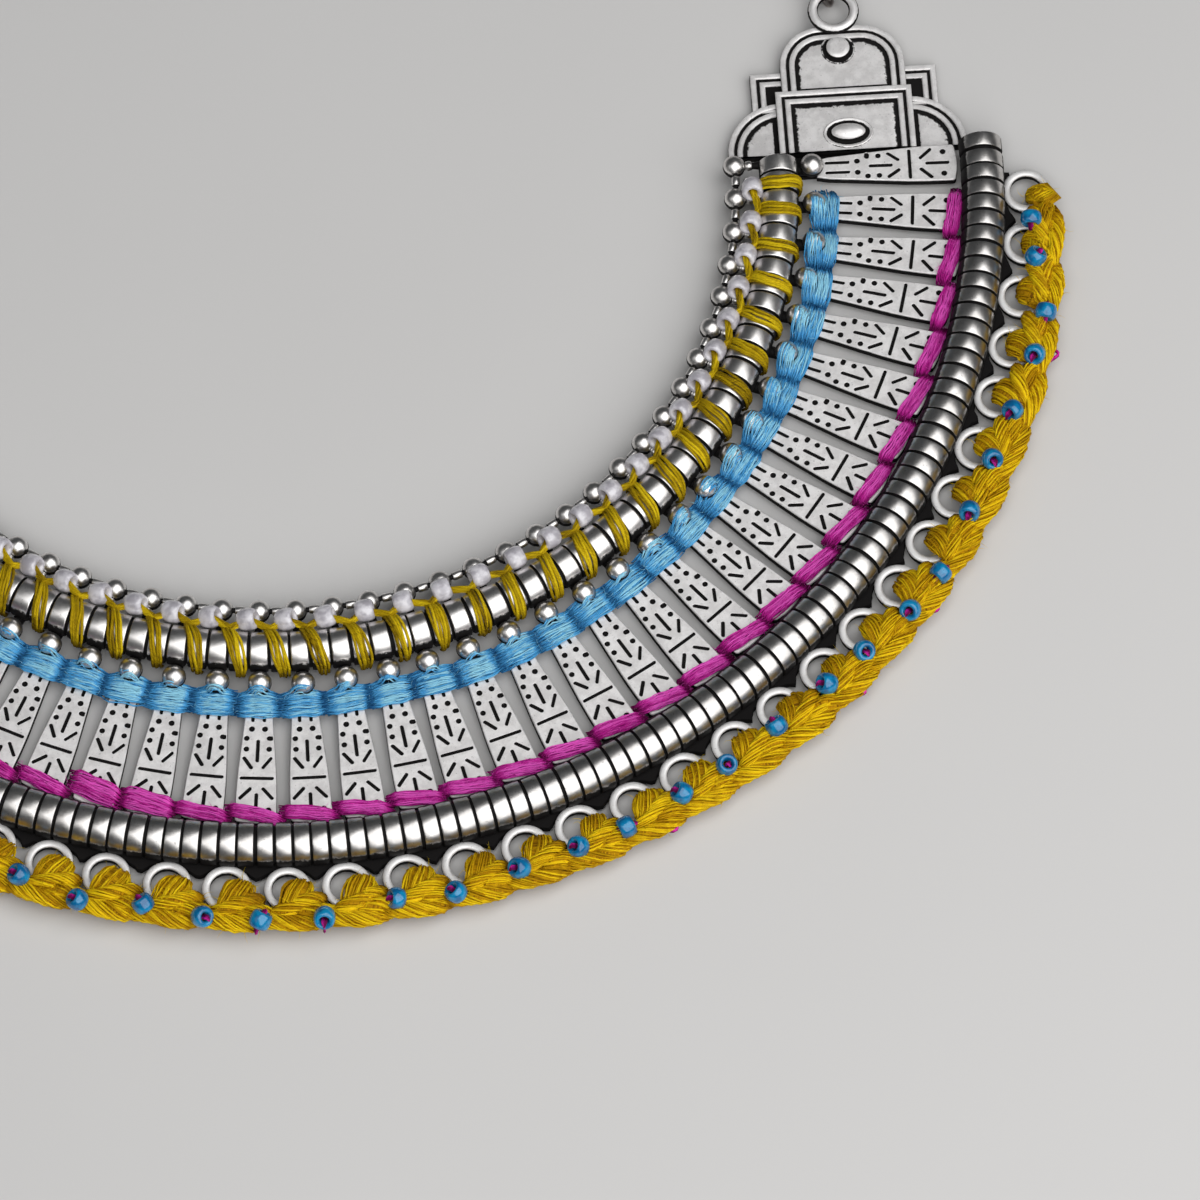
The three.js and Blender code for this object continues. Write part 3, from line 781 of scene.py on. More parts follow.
def wrap_course(index, rng):
    """Where a wrap runs over its barrel: angles round the section, and distance across at each."""
    _, _, crest, inner, outer = table_row(STITCHES, index)
    turn = np.linspace(212, -42, WRAP["steps"])
    across = np.interp(turn, (-10, 20, 90, 150, 180), (outer, outer, crest, inner, inner))
    return np.radians(turn), across + rng.normal(0, 0.1)


def wrap_strand(place, turn, across, start, rng):
    """One strand of a wrap, at its place beside the middle one. The wrap narrows towards both ends."""
    tube = INNER_TUBE
    along = np.linspace(0, 1, WRAP["steps"])
    gather = 1 - 0.35 * smooth((along - 0.62) / 0.3) - 0.25 * smooth((0.42 - along) / 0.3)
    wander = 0.16 * np.sin(along * rng.uniform(4, 8) + rng.uniform(0, TAU))
    shift = across + place * gather + wander
    ply = 0.10 * math.cos(place * 1.6) + 0.11 * np.sin(along * rng.uniform(5, 9) + rng.uniform(0, TAU))
    reach = tube["section"] + 0.20 + ply + 0.35 * smooth((along - 0.8) / 0.2)
    # Painted shade: each strand darkens towards its end, where the wrap turns down the tube's outer flank.
    tone = rng.uniform(0.1, 0.9) * (1 - 0.8 * smooth((along - 0.72) / 0.2))
    return at(tube["radius"] + reach * np.cos(turn), start + shift / tube["radius"],
              tube["height"] + reach * np.sin(turn)), tone


def make_wraps():
    """The olive floss: a wrap over each barrel, and the thread that joins them."""
    rng = np.random.default_rng(11)
    shape = Shape()
    radius, height = INNER_TUBE["radius"], INNER_TUBE["height"]
    paths, tones, knots = [], [], []
    for index in range(1, WEDGE_COUNT):
        turn, across = wrap_course(index, rng)
        start = wedge_angle(index)
        knots.append((start + across[5] / (radius - 2.4), radius - 2.7, height + 1.5))
        for strand in range(WRAP["strands"]):
            place = (strand - (WRAP["strands"] - 1) / 2) * WRAP["spacing"]
            path, tone = wrap_strand(place, turn, across, start, rng)
            paths.append(path)
            tones.append(tone)
    paths = np.array(paths)
    middle = paths[:, WRAP["steps"] // 2]
    clockwise = at(1.0, np.arctan2(middle[:, 1], middle[:, 0]) - TAU / 4, 0.0)
    clockwise = np.broadcast_to(clockwise[:, None], paths.shape)
    tubes(shape, paths, WRAP["size"], 5, clockwise, shade=np.array(tones))
    bead_thread(shape, knots)
    shape.build("olive_wraps", [OLIVE_FLOSS], "olive_floss", (), sharp=80.0)


def bead_thread(shape, knots):
    """The thread that runs through the pearly beads and down to each wrap's start."""
    for index in range(1, WEDGE_COUNT):
        radius, angle = pearl_place(index)
        knots.append((angle, radius, PEARL["height"]))
    knots = np.array(sorted(knots, key=lambda row: -row[0]))
    angles = np.linspace(knots[0, 0], knots[-1, 0], BEAD_THREAD["steps"])
    radius = np.interp(-angles, -knots[:, 0], knots[:, 1])
    height = np.interp(-angles, -knots[:, 0], knots[:, 2])
    for strand in range(BEAD_THREAD["strands"]):
        twist = -angles * BEAD_THREAD["turns"] + strand * TAU / BEAD_THREAD["strands"]
        path = at(radius + BEAD_THREAD["reach"] * np.cos(twist), angles,
                  height + BEAD_THREAD["reach"] * np.sin(twist))
        tubes(shape, path, BEAD_THREAD["size"], 4, shade=0.25 + 0.12 * strand)


# ---- Outer tube and loops ----


def make_outer_tube():
    """Narrow rings side by side. Each end stands a little past the first and last wedge."""
    rng = np.random.default_rng(13)
    shape = Shape()
    first = wedge_angle(0) + 0.0347
    pitch = (math.pi + 2 * first) / OUTER_RINGS
    places = first - (np.arange(OUTER_RINGS) + 0.5) * pitch + rng.normal(0, 0.0004, OUTER_RINGS)
    core = np.linspace(first - 0.004, -math.pi - first + 0.004, 200)
    # Tarnish and painted dark reflection on the rings' flanks, and a little darkening all over.
    round_tarnish_and_reflection = 0.1 + 0.9 * tarnish_and_dark_reflection(OUTER_TUBE["sides"], 38, 122)
    barrelled_tube(shape, OUTER_TUBE, pitch * OUTER_TUBE["radius"], places, round_tarnish_and_reflection, core)
    shape.build("outer_rings", [RING_SILVER], "antique_silver", ["outer_tube"], sharp=40.0)


# The wire's flat top is left bright; its sides and underside are painted dark, as painted shade and painted
# dark reflection.
LOOP_SECTION = (
    # across the wire, up, shade
    (0.56, 0.10, 1.0),
    (0.54, 0.38, 0.6),
    (0.44, 0.56, 0.0),
    (0.22, 0.64, 0.0),
    (-0.22, 0.64, 0.0),
    (-0.44, 0.56, 0.0),
    (-0.54, 0.38, 0.6),
    (-0.56, 0.10, 1.0),
    (-0.42, -0.60, 1.0),
    (0.42, -0.60, 1.0),
)


def make_loops():
    """The flat loops along the outer tube, each turned to its place."""
    rng = np.random.default_rng(17)
    shape = Shape()
    turn = circle(36)[:, None]
    across, upward, shade = np.array(LOOP_SECTION).T
    rings = []
    for index in range(LOOP["count"]):
        angle = loop_angle(index) + rng.normal(0, 0.001)
        radius = LOOP["mean"] * (1 + rng.normal(0, 0.02)) + across
        x = LOOP["radius"] + radius * np.cos(turn)
        y = radius * np.sin(turn)
        rings.append(turned(x, y, LOOP["height"] + np.broadcast_to(upward, x.shape), angle))
    shape.grids(np.array(rings)[:, :, ::-1], None, shade[::-1][None, None], closed=True)
    shape.build("edge_loops", [LOOP_SILVER], "antique_silver", ["outer_tube"], sharp=50.0)


def make_solder_and_shadow_web():
    """A dark sheet between the tube and the loops, reaching furthest between two of them: partly solder,
    partly painted shadow where the floor lies in shade between the loops.
    """
    shape = Shape()
    low, high, inner = 0.75, 1.7, 98.0
    angles = np.linspace(loop_angle(-0.4), loop_angle(LOOP["count"] - 0.6), LOOP["count"] * 14)
    place = (FIRST_LOOP - angles) / LOOP_PITCH
    near = np.abs(place - np.round(place)) * 2
    reach = 99.1 + 1.5 * near ** 3 + 0.12 * np.sin(angles * 311.0) * smooth(near)
    ring = [at(inner, angles, low), at(reach, angles, low), at(reach - 0.1, angles, high),
            at(inner, angles, high + 0.2)]
    shape.grids(np.stack(ring, 1)[None], None, 1.0)
    shape.build("edge_web", [TARNISH_AND_SHADOW_METAL], "antique_silver", (), sharp=40.0)


# ---- Floss bands over the wedges ----


def ball_lift(across, radius, centre, least):
    """How high a strand rides where it crosses a neck ball. Strands further in than least stay below."""
    inside = NECK_BALL["size"] ** 2 - across ** 2 - (radius - centre) ** 2
    ridden = (inside > 0) & (radius > centre + least)
    return np.where(ridden, NECK_BALL["height"] + np.sqrt(np.maximum(inside, 0.0)), 0.0)


class Course:
    """How a band's strands run over one wedge and fall off its sides."""

    def __init__(self, band, index, rng):
        self.index = index
        self.radius = band["radius"]
        row = table_row(STRAY, index)
        widened, spread_inward, self.gather, self.dip, self.least = table_row(band["looks"], index)
        out = row[band["column"]] + rng.normal(0, 0.07)
        self.ball = NECK_BALL["radius"] + row[1]
        self.slope = band["slope"] + rng.normal(0, 0.03)
        inward = spread_inward * rng.uniform(0.0, 1.0)
        self.width = band["width"] * widened + inward
        self.middle = self.radius + out - inward / 2
        self.stretch = rng.uniform(0.53, 0.58)
        self.pitch = WEDGE_PITCH * self.radius
        self.half = table_row(WEDGE_HALF, self.radius)[0] + 0.1

    def fall(self, along):
        """0 on the wedge, and 1 halfway to the next one."""
        return smooth((np.abs(along) - self.half + 0.35) / (self.pitch / 2 - self.half + 0.45))

    def place(self, radius, along, height):
        return at(radius, wedge_angle(self.index) - along / self.radius, height)

    def add_bed(self, shape):
        """A flat filling under the strands, so that nothing shows between them. Its low tone is painted
        shade in the slits between strands.
        """
        along = np.linspace(-0.47, 0.47, 11) * self.pitch
        fall = self.fall(along)
        under = WEDGE["face"] + 0.12 - (self.dip + 0.3) * fall
        bed = self.place(self.middle + self.slope * along, along, under)
        tubes(shape, bed, (self.width * (0.44 - 0.2 * fall))[None], 6, flat=0.14, shade=0.3)

    def strand(self, share, layer, size, rng):
        """The path and tones of one strand, at its share of the width to either side of the middle. The
        tones hold painted light and shade as well as each strand's own tone.
        """
        along = np.linspace(-self.stretch, self.stretch, BAND_STEPS) * self.pitch + rng.normal(0, 0.14)
        fall = self.fall(along)
        share += rng.normal(0, 0.02)
        wander = 0.10 * np.sin(along * rng.uniform(0.7, 2.2) + rng.uniform(0, TAU))
        arc = self.middle + share * self.width * (1 - self.gather * fall) + self.slope * along + wander
        crown = 0.26 * (1 - 4 * share * share) + 0.18 * (1 - (along / self.half) ** 2).clip(0)
        top = WEDGE["face"] + size + layer * 0.16 + crown + 0.10 * rng.random()
        lift = ball_lift(along, arc, self.ball, self.least) * (rng.random() < 0.85)
        top = np.maximum(top, lift + 0.12 + 0.1 * rng.random())
        sink = top - self.dip - 0.4 * rng.random() - layer * 0.15
        # Painted light and shade: strands are paler over each wedge's crown, and darker where they dip
        # between wedges, towards each wedge's clockwise end and near the band's edges.
        crown_light_and_dip_shade = 1.1 - 1.1 * fall - 0.3 * smooth((along - self.half + 1.4) / 1.2) * (1 - fall)
        tones = rng.uniform(0.4, 1.1) * crown_light_and_dip_shade * (1 - 0.4 * smooth((abs(share) - 0.38) / 0.12))
        return self.place(arc, along, top - sink * fall), tones


def make_band(name, band, material, slot, node):
    """Strands laid over each wedge and pulled down between two of them, in two layers."""
    rng = np.random.default_rng(band["seed"])
    shape = Shape()
    paths, tones = [], []
    for index in range(1, WEDGE_COUNT - 1):
        course = Course(band, index, rng)
        course.add_bed(shape)
        for layer in range(2):
            count = band["strands"] - 6 * layer
            for strand in range(count):
                path, tone = course.strand((strand + 0.5) / count - 0.5, layer, band["size"], rng)
                paths.append(path)
                tones.append(tone)
    sizes = band["size"] * rng.uniform(0.8, 1.15, (len(paths), 1))
    tubes(shape, np.array(paths), sizes, 3, shade=np.array(tones))
    fuzz(shape, np.concatenate(paths), rng, BAND_FUZZ)
    shape.build(name, [material], slot, [node], sharp=180.0)


def fuzz(shape, places, rng, style):
    """Fine stray hairs, curling up and away from strands."""
    count = style["count"]
    roots = places[rng.integers(0, len(places), count)] + (0, 0, 0.12)
    heading = rng.uniform(0, TAU, count)
    bend = rng.normal(0, 1.1, count)
    share = np.linspace(0, 1, 4)
    reach = style["length"] * rng.uniform(0.4, 1.2, count)
    rise = rng.uniform(0.0, 0.4, count) * reach
    angle = heading[:, None] + bend[:, None] * share
    step = reach[:, None] / 3
    x = np.cumsum(np.cos(angle) * step, 1) - np.cos(angle[:, :1]) * step
    y = np.cumsum(np.sin(angle) * step, 1) - np.sin(angle[:, :1]) * step
    z = rise[:, None] * share * (2 - share)
    paths = roots[:, None] + np.stack([x, y, z], -1)
    tubes(shape, paths, style["size"] * (1.1 - share)[None], 3, shade=0.9)


# ---- Crochet edge ----

# Where each lobe starts, in millimetres from the loop's centre line, and how far out the braid is.
LOBES = (
    # loop, tip radius, across, braid out
    (0, 102.0, -1.3, -1.8),
    (1, 101.5, -0.5, -1.2),
    (2, 101.4, -0.2, -0.8),
    (3, 101.3, -0.1, -0.5),
    (5, 101.3, 0.4, -0.2),
    (8, 101.4, 0.7, 0.0),
    (12, 101.4, 1.0, 0.0),
    (16, 101.2, 1.6, 0.1),
    (20, 101.0, 1.3, 0.2),
)
# The blue beads, from the first loop on. The last sixteen repeat on the hidden side.
BEADS = (
    # across, radius, where the hole points: 0 counterclockwise and 90 outwards, how far it tips up
    (-5.4, 102.4, 0, 5),
    (-3.2, 103.3, 40, 45),
    (-3.3, 105.6, 0, 10),
    (-1.7, 105.3, 190, 40),
    (-2.5, 104.6, 200, 20),
    (-2.2, 104.5, 135, 40),
    (-2.5, 104.9, 165, 25),
    (-4.2, 106.0, 10, 5),
    (-2.8, 105.7, 175, 45),
    (-3.1, 104.6, 105, 50),
    (-1.9, 104.2, 215, 35),
    (-2.9, 104.2, 270, 35),
    (-3.5, 104.6, 80, 75),
    (-2.5, 104.7, 225, 35),
    (-3.1, 105.4, 0, 5),
    (-1.8, 105.3, 190, 45),
    (-1.9, 105.4, 180, 40),
    (-2.6, 106.4, 210, 50),
    (-2.1, 105.7, 180, 25),
    (-3.5, 107.3, 95, 35),
    (-3.5, 107.3, 300, 30),
    (-2.8, 107.1, 30, 45),
    (-2.4, 106.1, 220, 35),
    (-2.7, 107.1, 180, 45),
)
# Where the beads' thread shows on the braid's outer side.
OUTER_STITCHES = (
    # loop, across
    (3, -0.3),
    (8, 0.0),
    (10, 1.1),
    (13, -5.7),
    (14, 2.5),
    (27, 0.8),
    (33, -0.6),
)
# The legs of a stitch, beside each loop.
INNER_LEG = (
    # across, radius, height
    (-2.6, 106.2, 2.4),
    (-1.3, 105.8, 3.2),
    (0.5, 105.2, 3.8),
    (2.3, 104.5, 3.8),
    (3.8, 103.9, 3.3),
    (4.9, 103.6, 2.4),
)
MIDDLE_LEG = (
    (0.6, 106.1, 2.6),
    (2.2, 105.9, 3.4),
    (4.0, 105.6, 3.6),
    (5.6, 105.7, 3.1),
    (6.8, 106.0, 2.3),
)
OUTER_LEG = (
    (-4.9, 106.0, 2.2),
    (-3.1, 106.5, 3.0),
    (-0.8, 107.0, 3.4),
    (1.5, 107.2, 3.3),
    (3.6, 106.9, 2.8),
    (5.5, 106.4, 2.1),
)
FIRST_LEG = (
    (-4.6, 106.0, 2.1),
    (-3.2, 106.3, 3.0),
    (-1.9, 105.9, 2.8),
    (-0.9, 105.1, 1.6),
)


def plied(shape, path, half_width, turns, count, rng, style, round_start=False):
    """A flattened bundle of strands that turn slowly round one path (r, 3), over a core."""
    half_height = style["half_height"]
    side, up = (way[0] for way in frame_of(path[None], UP))
    along = np.linspace(0, 1, len(path))
    taper = np.minimum(1, 0.55 + 2.6 * np.minimum(along, 1 - along))
    if round_start:
        taper = np.minimum(taper, np.sqrt(np.clip(1 - (1 - along / 0.6) ** 2, 0.05, 1) + (along > 0.6)))
    strands, tones = [], []
    for strand in range(count):
        turn = TAU * (strand / count + turns * along) + rng.normal(0, 0.15)
        reach = 1 + 0.09 * np.sin(along * rng.uniform(3, 10) + rng.uniform(0, TAU)) + rng.normal(0, 0.05)
        offset = (half_width * np.cos(turn))[:, None] * side + (half_height * np.sin(turn))[:, None] * up
        strands.append(path + offset * (taper * reach)[:, None])
        tones.append(rng.uniform(*style["tone"]))
    # Painted shade: each strand darkens towards both ends of the bundle, where it dives under its
    # neighbours.
    shade = np.array(tones)[:, None] * (0.25 + 0.75 * smooth(3.4 * np.minimum(along, 1 - along)))[None]
    tubes(shape, strands, style["size"], 3, shade=shade)
    # The core's low tone is painted shade in the gaps between the strands.
    core = 0.92 * half_width * taper
    tubes(shape, path, core[None], 8, UP, 0.92 * half_height / half_width, shade=0.3)
    return np.concatenate(strands)


def resample(points, count):
    """A smooth path through a few points (Catmull-Rom)."""
    points = np.asarray(points, float)
    padded = np.concatenate([2 * points[:1] - points[1:2], points, 2 * points[-1:] - points[-2:-1]])
    spans = len(points) - 1
    place = np.linspace(0, spans, count)
    span = np.minimum(place.astype(int), spans - 1)
    t = (place - span)[:, None]
    a, b, c, d = (padded[span + k] for k in range(4))
    square, cube = 2 * a - 5 * b + 4 * c - d, 3 * b - a - 3 * c + d
    return 0.5 * (2 * b + (c - a) * t + square * t ** 2 + cube * t ** 3)


def local_path(angle, rows, count, out=0.0):
    """A path from rows of (counterclockwise distance, radius, height) round an angle on the edge."""
    rows = np.asarray(rows, float)
    radius = rows[:, 1] + out
    return resample(at(radius, angle + rows[:, 0] / radius, rows[:, 2]), count)


LOBE = {"half_width": 2.1, "first_half_width": 1.5, "half_height": 0.8, "strands": 36, "turns": 0.16,
        "size": 0.155, "tone": (0.35, 0.9)}
LEG = {"half_height": 0.8, "size": 0.175, "tone": (0.4, 1.05)}
BRAID_CORE = {"radius": 105.9, "height": 1.75, "size": 1.2}
BRAID_STEPS = 11
HAIRS = {"count": 3000, "length": 1.6, "size": 0.042}
BAND_FUZZ = {"count": 700, "length": 1.1, "size": 0.034}
BEAD_STRING = {"height": 4.35, "size": 0.19, "spacing": 0.2, "outer_size": 0.17, "outer_spacing": 0.22}


def lobe_rows(tip, lean, out):
    """A lobe's path: up through its loop, over the loop's outer side, and down behind it."""
    return (
        (lean + 0.3, tip + 0.1, 1.2),
        (lean + 0.3, tip + 0.4, 2.4),
        (lean + 0.2, tip + 1.4, 3.2),
        (lean - 0.1, tip + 2.7, 3.6),
        (lean - 0.5, 105.2 + out, 3.4),
        (lean - 0.9, 106.0 + out, 2.6),
    )


def leg_rows(index):
    """The legs beside a loop: path, half width, turns and strands. The first loop has a single short one."""
    if index == 0:
        return [(FIRST_LEG, 0.9, -0.6, 22)]
    twist = -1 if index < 5 else 1
    return [
        (MIDDLE_LEG, 0.8, 0.8, 14),
        (INNER_LEG, 0.92, 0.9 * twist, 21),
        (OUTER_LEG, 1.05, 1.1 * twist, 24),
    ]


def make_crochet():
    """The braided edge: a lobe out of each loop, and the legs of a stitch beside it."""
    rng = np.random.default_rng(23)
    rope, lobes, hairs = Shape(), Shape(), Shape()
    roots = []
    for index in range(LOOP["count"]):
        angle = loop_angle(index)
        tip, lean, out = table_row(LOBES, index)
        path = local_path(angle, lobe_rows(tip, lean + rng.normal(0, 0.12), out), BRAID_STEPS)
        width = LOBE["half_width" if index else "first_half_width"] + rng.normal(0, 0.1)
        roots.append(plied(lobes, path, width, LOBE["turns"], LOBE["strands"], rng, LOBE, True))
        swell = rng.uniform(0.92, 1.08)
        for rows, width, turns, count in leg_rows(index):
            path = local_path(angle, rows, BRAID_STEPS, out)
            roots.append(plied(rope, path, width * swell, turns, count, rng, LEG))
    # A dark core along the braid: its low tone is painted shade between the legs.
    places = np.arange(0.3, LOOP["count"] - 1.0, 0.25)
    radius = BRAID_CORE["radius"] + np.array([table_row(LOBES, place)[2] for place in places])
    tubes(rope, at(radius, loop_angle(places), BRAID_CORE["height"]), BRAID_CORE["size"], 8, shade=0.1)
    fuzz(hairs, np.concatenate(roots), rng, HAIRS)
    for name, shape in (("rope", rope), ("lobes", lobes), ("hairs", hairs)):
        shape.build("crochet_" + name, [GOLD_YARN], "gold_yarn", ["crochet_edge"], sharp=180.0)


def bead_string(centre, axis, flat, bow, length):
    """A thread's way up beside a bead, through its hole, and down again."""
    return resample([
        centre - axis * (length + 0.35) - UP * 1.2,
        centre - axis * (length + 0.1) + bow,
        centre + bow,
        centre + axis * (length + 0.12) + bow,
        centre + axis * (length + 0.15) + flat * 0.3 - UP * 0.6,
        centre + flat * (length + 0.15) - UP * 1.7,
    ], 11)


def make_crochet_beads():
    """A blue bead on magenta thread beside every loop."""
    rng = np.random.default_rng(29)
    beads, strings = Shape(), Shape()
    for index in range(LOOP["count"]):
        row = index if index < len(BEADS) else 8 + (index - len(BEADS)) % 16
        across, radius, heading, tip = BEADS[row]
        place = loop_angle(index) + across / radius
        heading, tip = math.radians(heading), math.radians(tip)
        outward, onward = at(1.0, place, 0.0), at(1.0, place + TAU / 4, 0.0)
        flat = onward * math.cos(heading) + outward * math.sin(heading)
        axis = flat * math.cos(tip) + UP * math.sin(tip)
        centre = at(radius, place, BEAD_STRING["height"])
        length = BLUE_BEAD["half_length"] * rng.uniform(0.88, 1.08)
        beside = unit(np.cross(axis, UP + 0.01 * outward))
        profile = bead_profile(BLUE_BEAD["size"], length, BLUE_BEAD["hole"])
        spin(beads, profile, centre, axis, beside, 20, closed=True)
        for strand in (-1, 0, 1):
            path = bead_string(centre, axis, flat, beside * BEAD_STRING["spacing"] * strand, length)
            tubes(strings, path, BEAD_STRING["size"], 4, beside, shade=0.05 + 0.2 * strand)
    for index, across in OUTER_STITCHES:
        rows = ((across - 0.9, 107.4, 2.3), (across, 108.3, 2.9), (across + 0.9, 107.4, 2.4))
        for strand in (-1, 0, 1):
            # Painted light: the upper of the three stacked strands is lighter and the lower one darker.
            path = local_path(loop_angle(index), rows, 8) + UP * BEAD_STRING["outer_spacing"] * strand
            tubes(strings, path, BEAD_STRING["outer_size"], 4, shade=0.3 + 0.2 * strand)
    beads.build("crochet_beads", [BLUE_GLASS], "blue_bead", (), sharp=60.0)
    strings.build("bead_strings", [MAGENTA_FLOSS], "magenta_floss", (), sharp=80.0)


# ---- End plates ----

PLATE_CENTRE = 78.4
WING_RADIUS = 7.6
# Where each wing's corner is, and to which side of it the wing lies.
WINGS = ((69.5, -1), (86.9, 1))
MOAT = np.array((
    # up, radius, shade
    (-0.35, 2.4, 0.85),
    (0.08, 2.32, 0.55),
    (0.13, 2.15, 0.5),
    (0.10, 1.98, 0.8),
    (0.06, 1.6, 1.0),
))
BOSS = np.array((
    (-0.4, 1.62, 1.0),
    (0.52, 1.62, 0.9),
    (0.74, 1.56, 0.2),
    (0.82, 1.42, 0.0),
    (0.84, 0.9, 0.1),
    (0.83, 0.3, 0.2),
))
RIM_ROWS = (
    # inset, drop below the panel's top, shade
    (0.0, None, 1.0),
    (0.0, 0.34, 0.9),
    (0.04, 0.14, 0.3),
    (0.14, 0.03, 0.0),
    (0.42, 0.0, 0.0),
    (0.68, 0.03, 0.0),
    (0.80, 0.14, 0.3),
    (0.86, 0.38, 1.0),
    (1.22, 0.38, 1.0),
    (1.28, 0.14, 0.3),
    (1.38, 0.03, 0.0),
    (1.65, 0.0, 0.0),
    (1.90, 0.03, 0.0),
    (2.00, 0.14, 0.3),
    (2.06, 0.42, 1.0),
    (2.36, 0.42, 0.95),
    (2.54, 0.36, 0.66),
    (2.80, 0.31, 0.42),
    (3.4, 0.29, 0.14),
)


OVAL_ROWS = (
    # out from the boss, share of the rise, shade
    (1.06, -0.30, 0.9),
    (0.98, 0.16, 0.5),
    (0.86, 0.24, 0.25),
    (0.66, 0.22, 0.25),
    (0.50, 0.13, 0.7),
    (0.25, 0.09, 0.95),
    (0.0, 0.10, 1.0),
    (-0.04, 0.40, 0.9),
    (-0.14, 0.62, 0.1),
    (-0.38, 0.82, 0.0),
    (-0.75, 0.95, 0.0),
    (-1.15, 1.0, 0.0),
)

# The inset at which the two rims have ended and the sunk field begins.
RIMS_END = 2.3


def contour_panel(shape, outline, top, foot, field_shade=0.0):
    """A cast panel with two rims round a sunk field. The outline is a function of the inset."""
    rings, shades = [], []
    for inset, drop, shade in RIM_ROWS:
        height = foot if drop is None else top - drop
        rings.append([(x, y, height) for x, y in outline(inset)])
        shades.append(max(shade, field_shade) if inset > RIMS_END else shade)
    shape.grids(np.array(rings)[None], None, np.array(shades)[None])


def arch_outline(inset):
    left, right = PLATE_CENTRE - 8.5 + inset, PLATE_CENTRE + 8.5 - inset
    bend = max(5.9 - inset, 0.5)
    foot = 11.9 + 0.6 * smooth((inset - 1.9) / 0.4)
    points = [(right, foot), (right, 13.5)]
    for centre, start in ((right - bend, 0.0), (left + bend, 90.0)):
        for step in range(9):
            turn = math.radians(start + 90 * step / 8)
            points.append((centre + bend * math.cos(turn), 16.0 + bend * math.sin(turn)))
    points += [(left, 13.5), (left, foot)]
    return points


def straight_sides(corners):
    """An outline through four corners, with two more points on each side."""
    points = []
    for (x, y), (next_x, next_y) in zip(corners, corners[1:] + corners[:1]):
        points += [(x + (next_x - x) * step / 3, y + (next_y - y) * step / 3) for step in range(3)]
    return points


def box_outline(inset):
    """The square panel in front, whose foot the first wedge covers."""
    left, right, foot, head = 68.9 + inset, 87.5 - inset, 2.4, 12.0 - inset
    return straight_sides([(left, foot), (right, foot), (right, head), (left, head)])


def shoulder_outline(inset):
    """The stepped panel behind, down to where the wings cover it."""
    left, right, head = 65.7 + inset, 91.1 - inset, 15.35 - inset
    foot = 3.0 + math.sqrt(WING_RADIUS ** 2 - (right - WINGS[1][0]) ** 2) - 0.1
    return straight_sides([(right, foot), (right, head), (left, head), (left, foot)])


def wing_outline(corner, side):
    """The round panel on one side of the box: 1 to the right, and -1 to the left."""
    def outline(inset):
        hidden = 1.15 * smooth((inset - 1.8) / 0.5) + 0.3 * max(inset - 2.4, 0)
        radius = max(WING_RADIUS - inset, 1.0)
        points = [(corner + side * hidden, 2.6)]
        lean = math.asin(max(-0.4 / radius, -0.9))
        reach = math.acos(min(hidden / radius, 0.9))
        for step in range(11):
            turn = lean + (reach - lean) * step / 10
            points.append((corner + side * radius * math.cos(turn), 3.0 + radius * math.sin(turn)))
        return points if side > 0 else points[::-1]
    return outline


def plate_shape():
    """The right plate: five panels, a near-black tongue under the first wedge, two bosses and the ring. The
    tongue is the plate's foot, coloured as painted shadow under the wedge.
    """
    shape = Shape()
    contour_panel(shape, shoulder_outline, 1.54, 0.0, 0.85)
    for corner, side in WINGS[::-1]:
        contour_panel(shape, wing_outline(corner, side), 1.65, 0.0)
    contour_panel(shape, arch_outline, 2.05, 0.1)
    contour_panel(shape, box_outline, 2.42, 0.1)
    # Painted shadow: the plate's foot under the first wedge is made near-black, as the shade beneath the
    # wedge.
    tongue = [(67.0, -0.6), (90.6, -0.6), (90.6, 4.0), (67.0, 4.0)]
    rings = [[(x, y, height) for x, y in tongue] for height in (0.05, 0.8)]
    shape.grids(np.array(rings)[None], None, 1.0)
    for table, height in ((MOAT, 1.72), (BOSS, 1.75)):
        spin(shape, table[:, :2], ROUND_BOSS + (height,), UP, OUT, 28, table[:, 2])
    oval_dome(shape, OVAL_BOSS + (2.09,), 2.4, 1.3, 1.1)
    ring = at(PLATE_RING["radius"], circle(30), PLATE_RING["height"])
    ring += (PLATE_RING["x"], PLATE_RING["y"], 0)
    # The ring's wire is darkened on its sides: tarnish and painted dark reflection, with the top left
    # bright.
    side_tarnish_and_reflection = tarnish_and_dark_reflection(14, 50, 130, 0.9)
    tubes(shape, ring, PLATE_RING["wire"], 14, shade=side_tarnish_and_reflection[None, None], closed=True)
    return shape


def oval_dome(shape, centre, half_long, half_wide, rise):
    """The oval boss in its dark moat, with a thin rim round that."""
    out, high, shade = np.array(OVAL_ROWS).T[:, :, None]
    turn = circle(36)
    x, y = (half_long + out) * np.cos(turn), (half_wide + out) * np.sin(turn)
    rings = np.stack([x, y, np.broadcast_to(rise * high, x.shape)], -1) + centre
    shape.grids(rings[None], None, shade.T)


def mirror(shape):
    """The same shape on the other side of the collar."""
    shape.points = [block * (-1, 1, 1) for block in shape.points]
    shape.faces = [group[:, ::-1] for group in shape.faces]
    shape.coords = [group[:, ::-1] for group in shape.coords]
    return shape


def make_plates():
    for side, shape in (("right", plate_shape()), ("left", mirror(plate_shape()))):
        node = "end_plate_" + side
        shape.build("plate_relief_" + side, [FACE_SILVER], "antique_silver", [node], sharp=28.0)


# ---- Chain and clasp ----

CHAIN_RADIUS = math.hypot(PLATE_RING["x"], PLATE_RING["y"])
CHAIN_START = math.atan2(PLATE_RING["y"], PLATE_RING["x"])


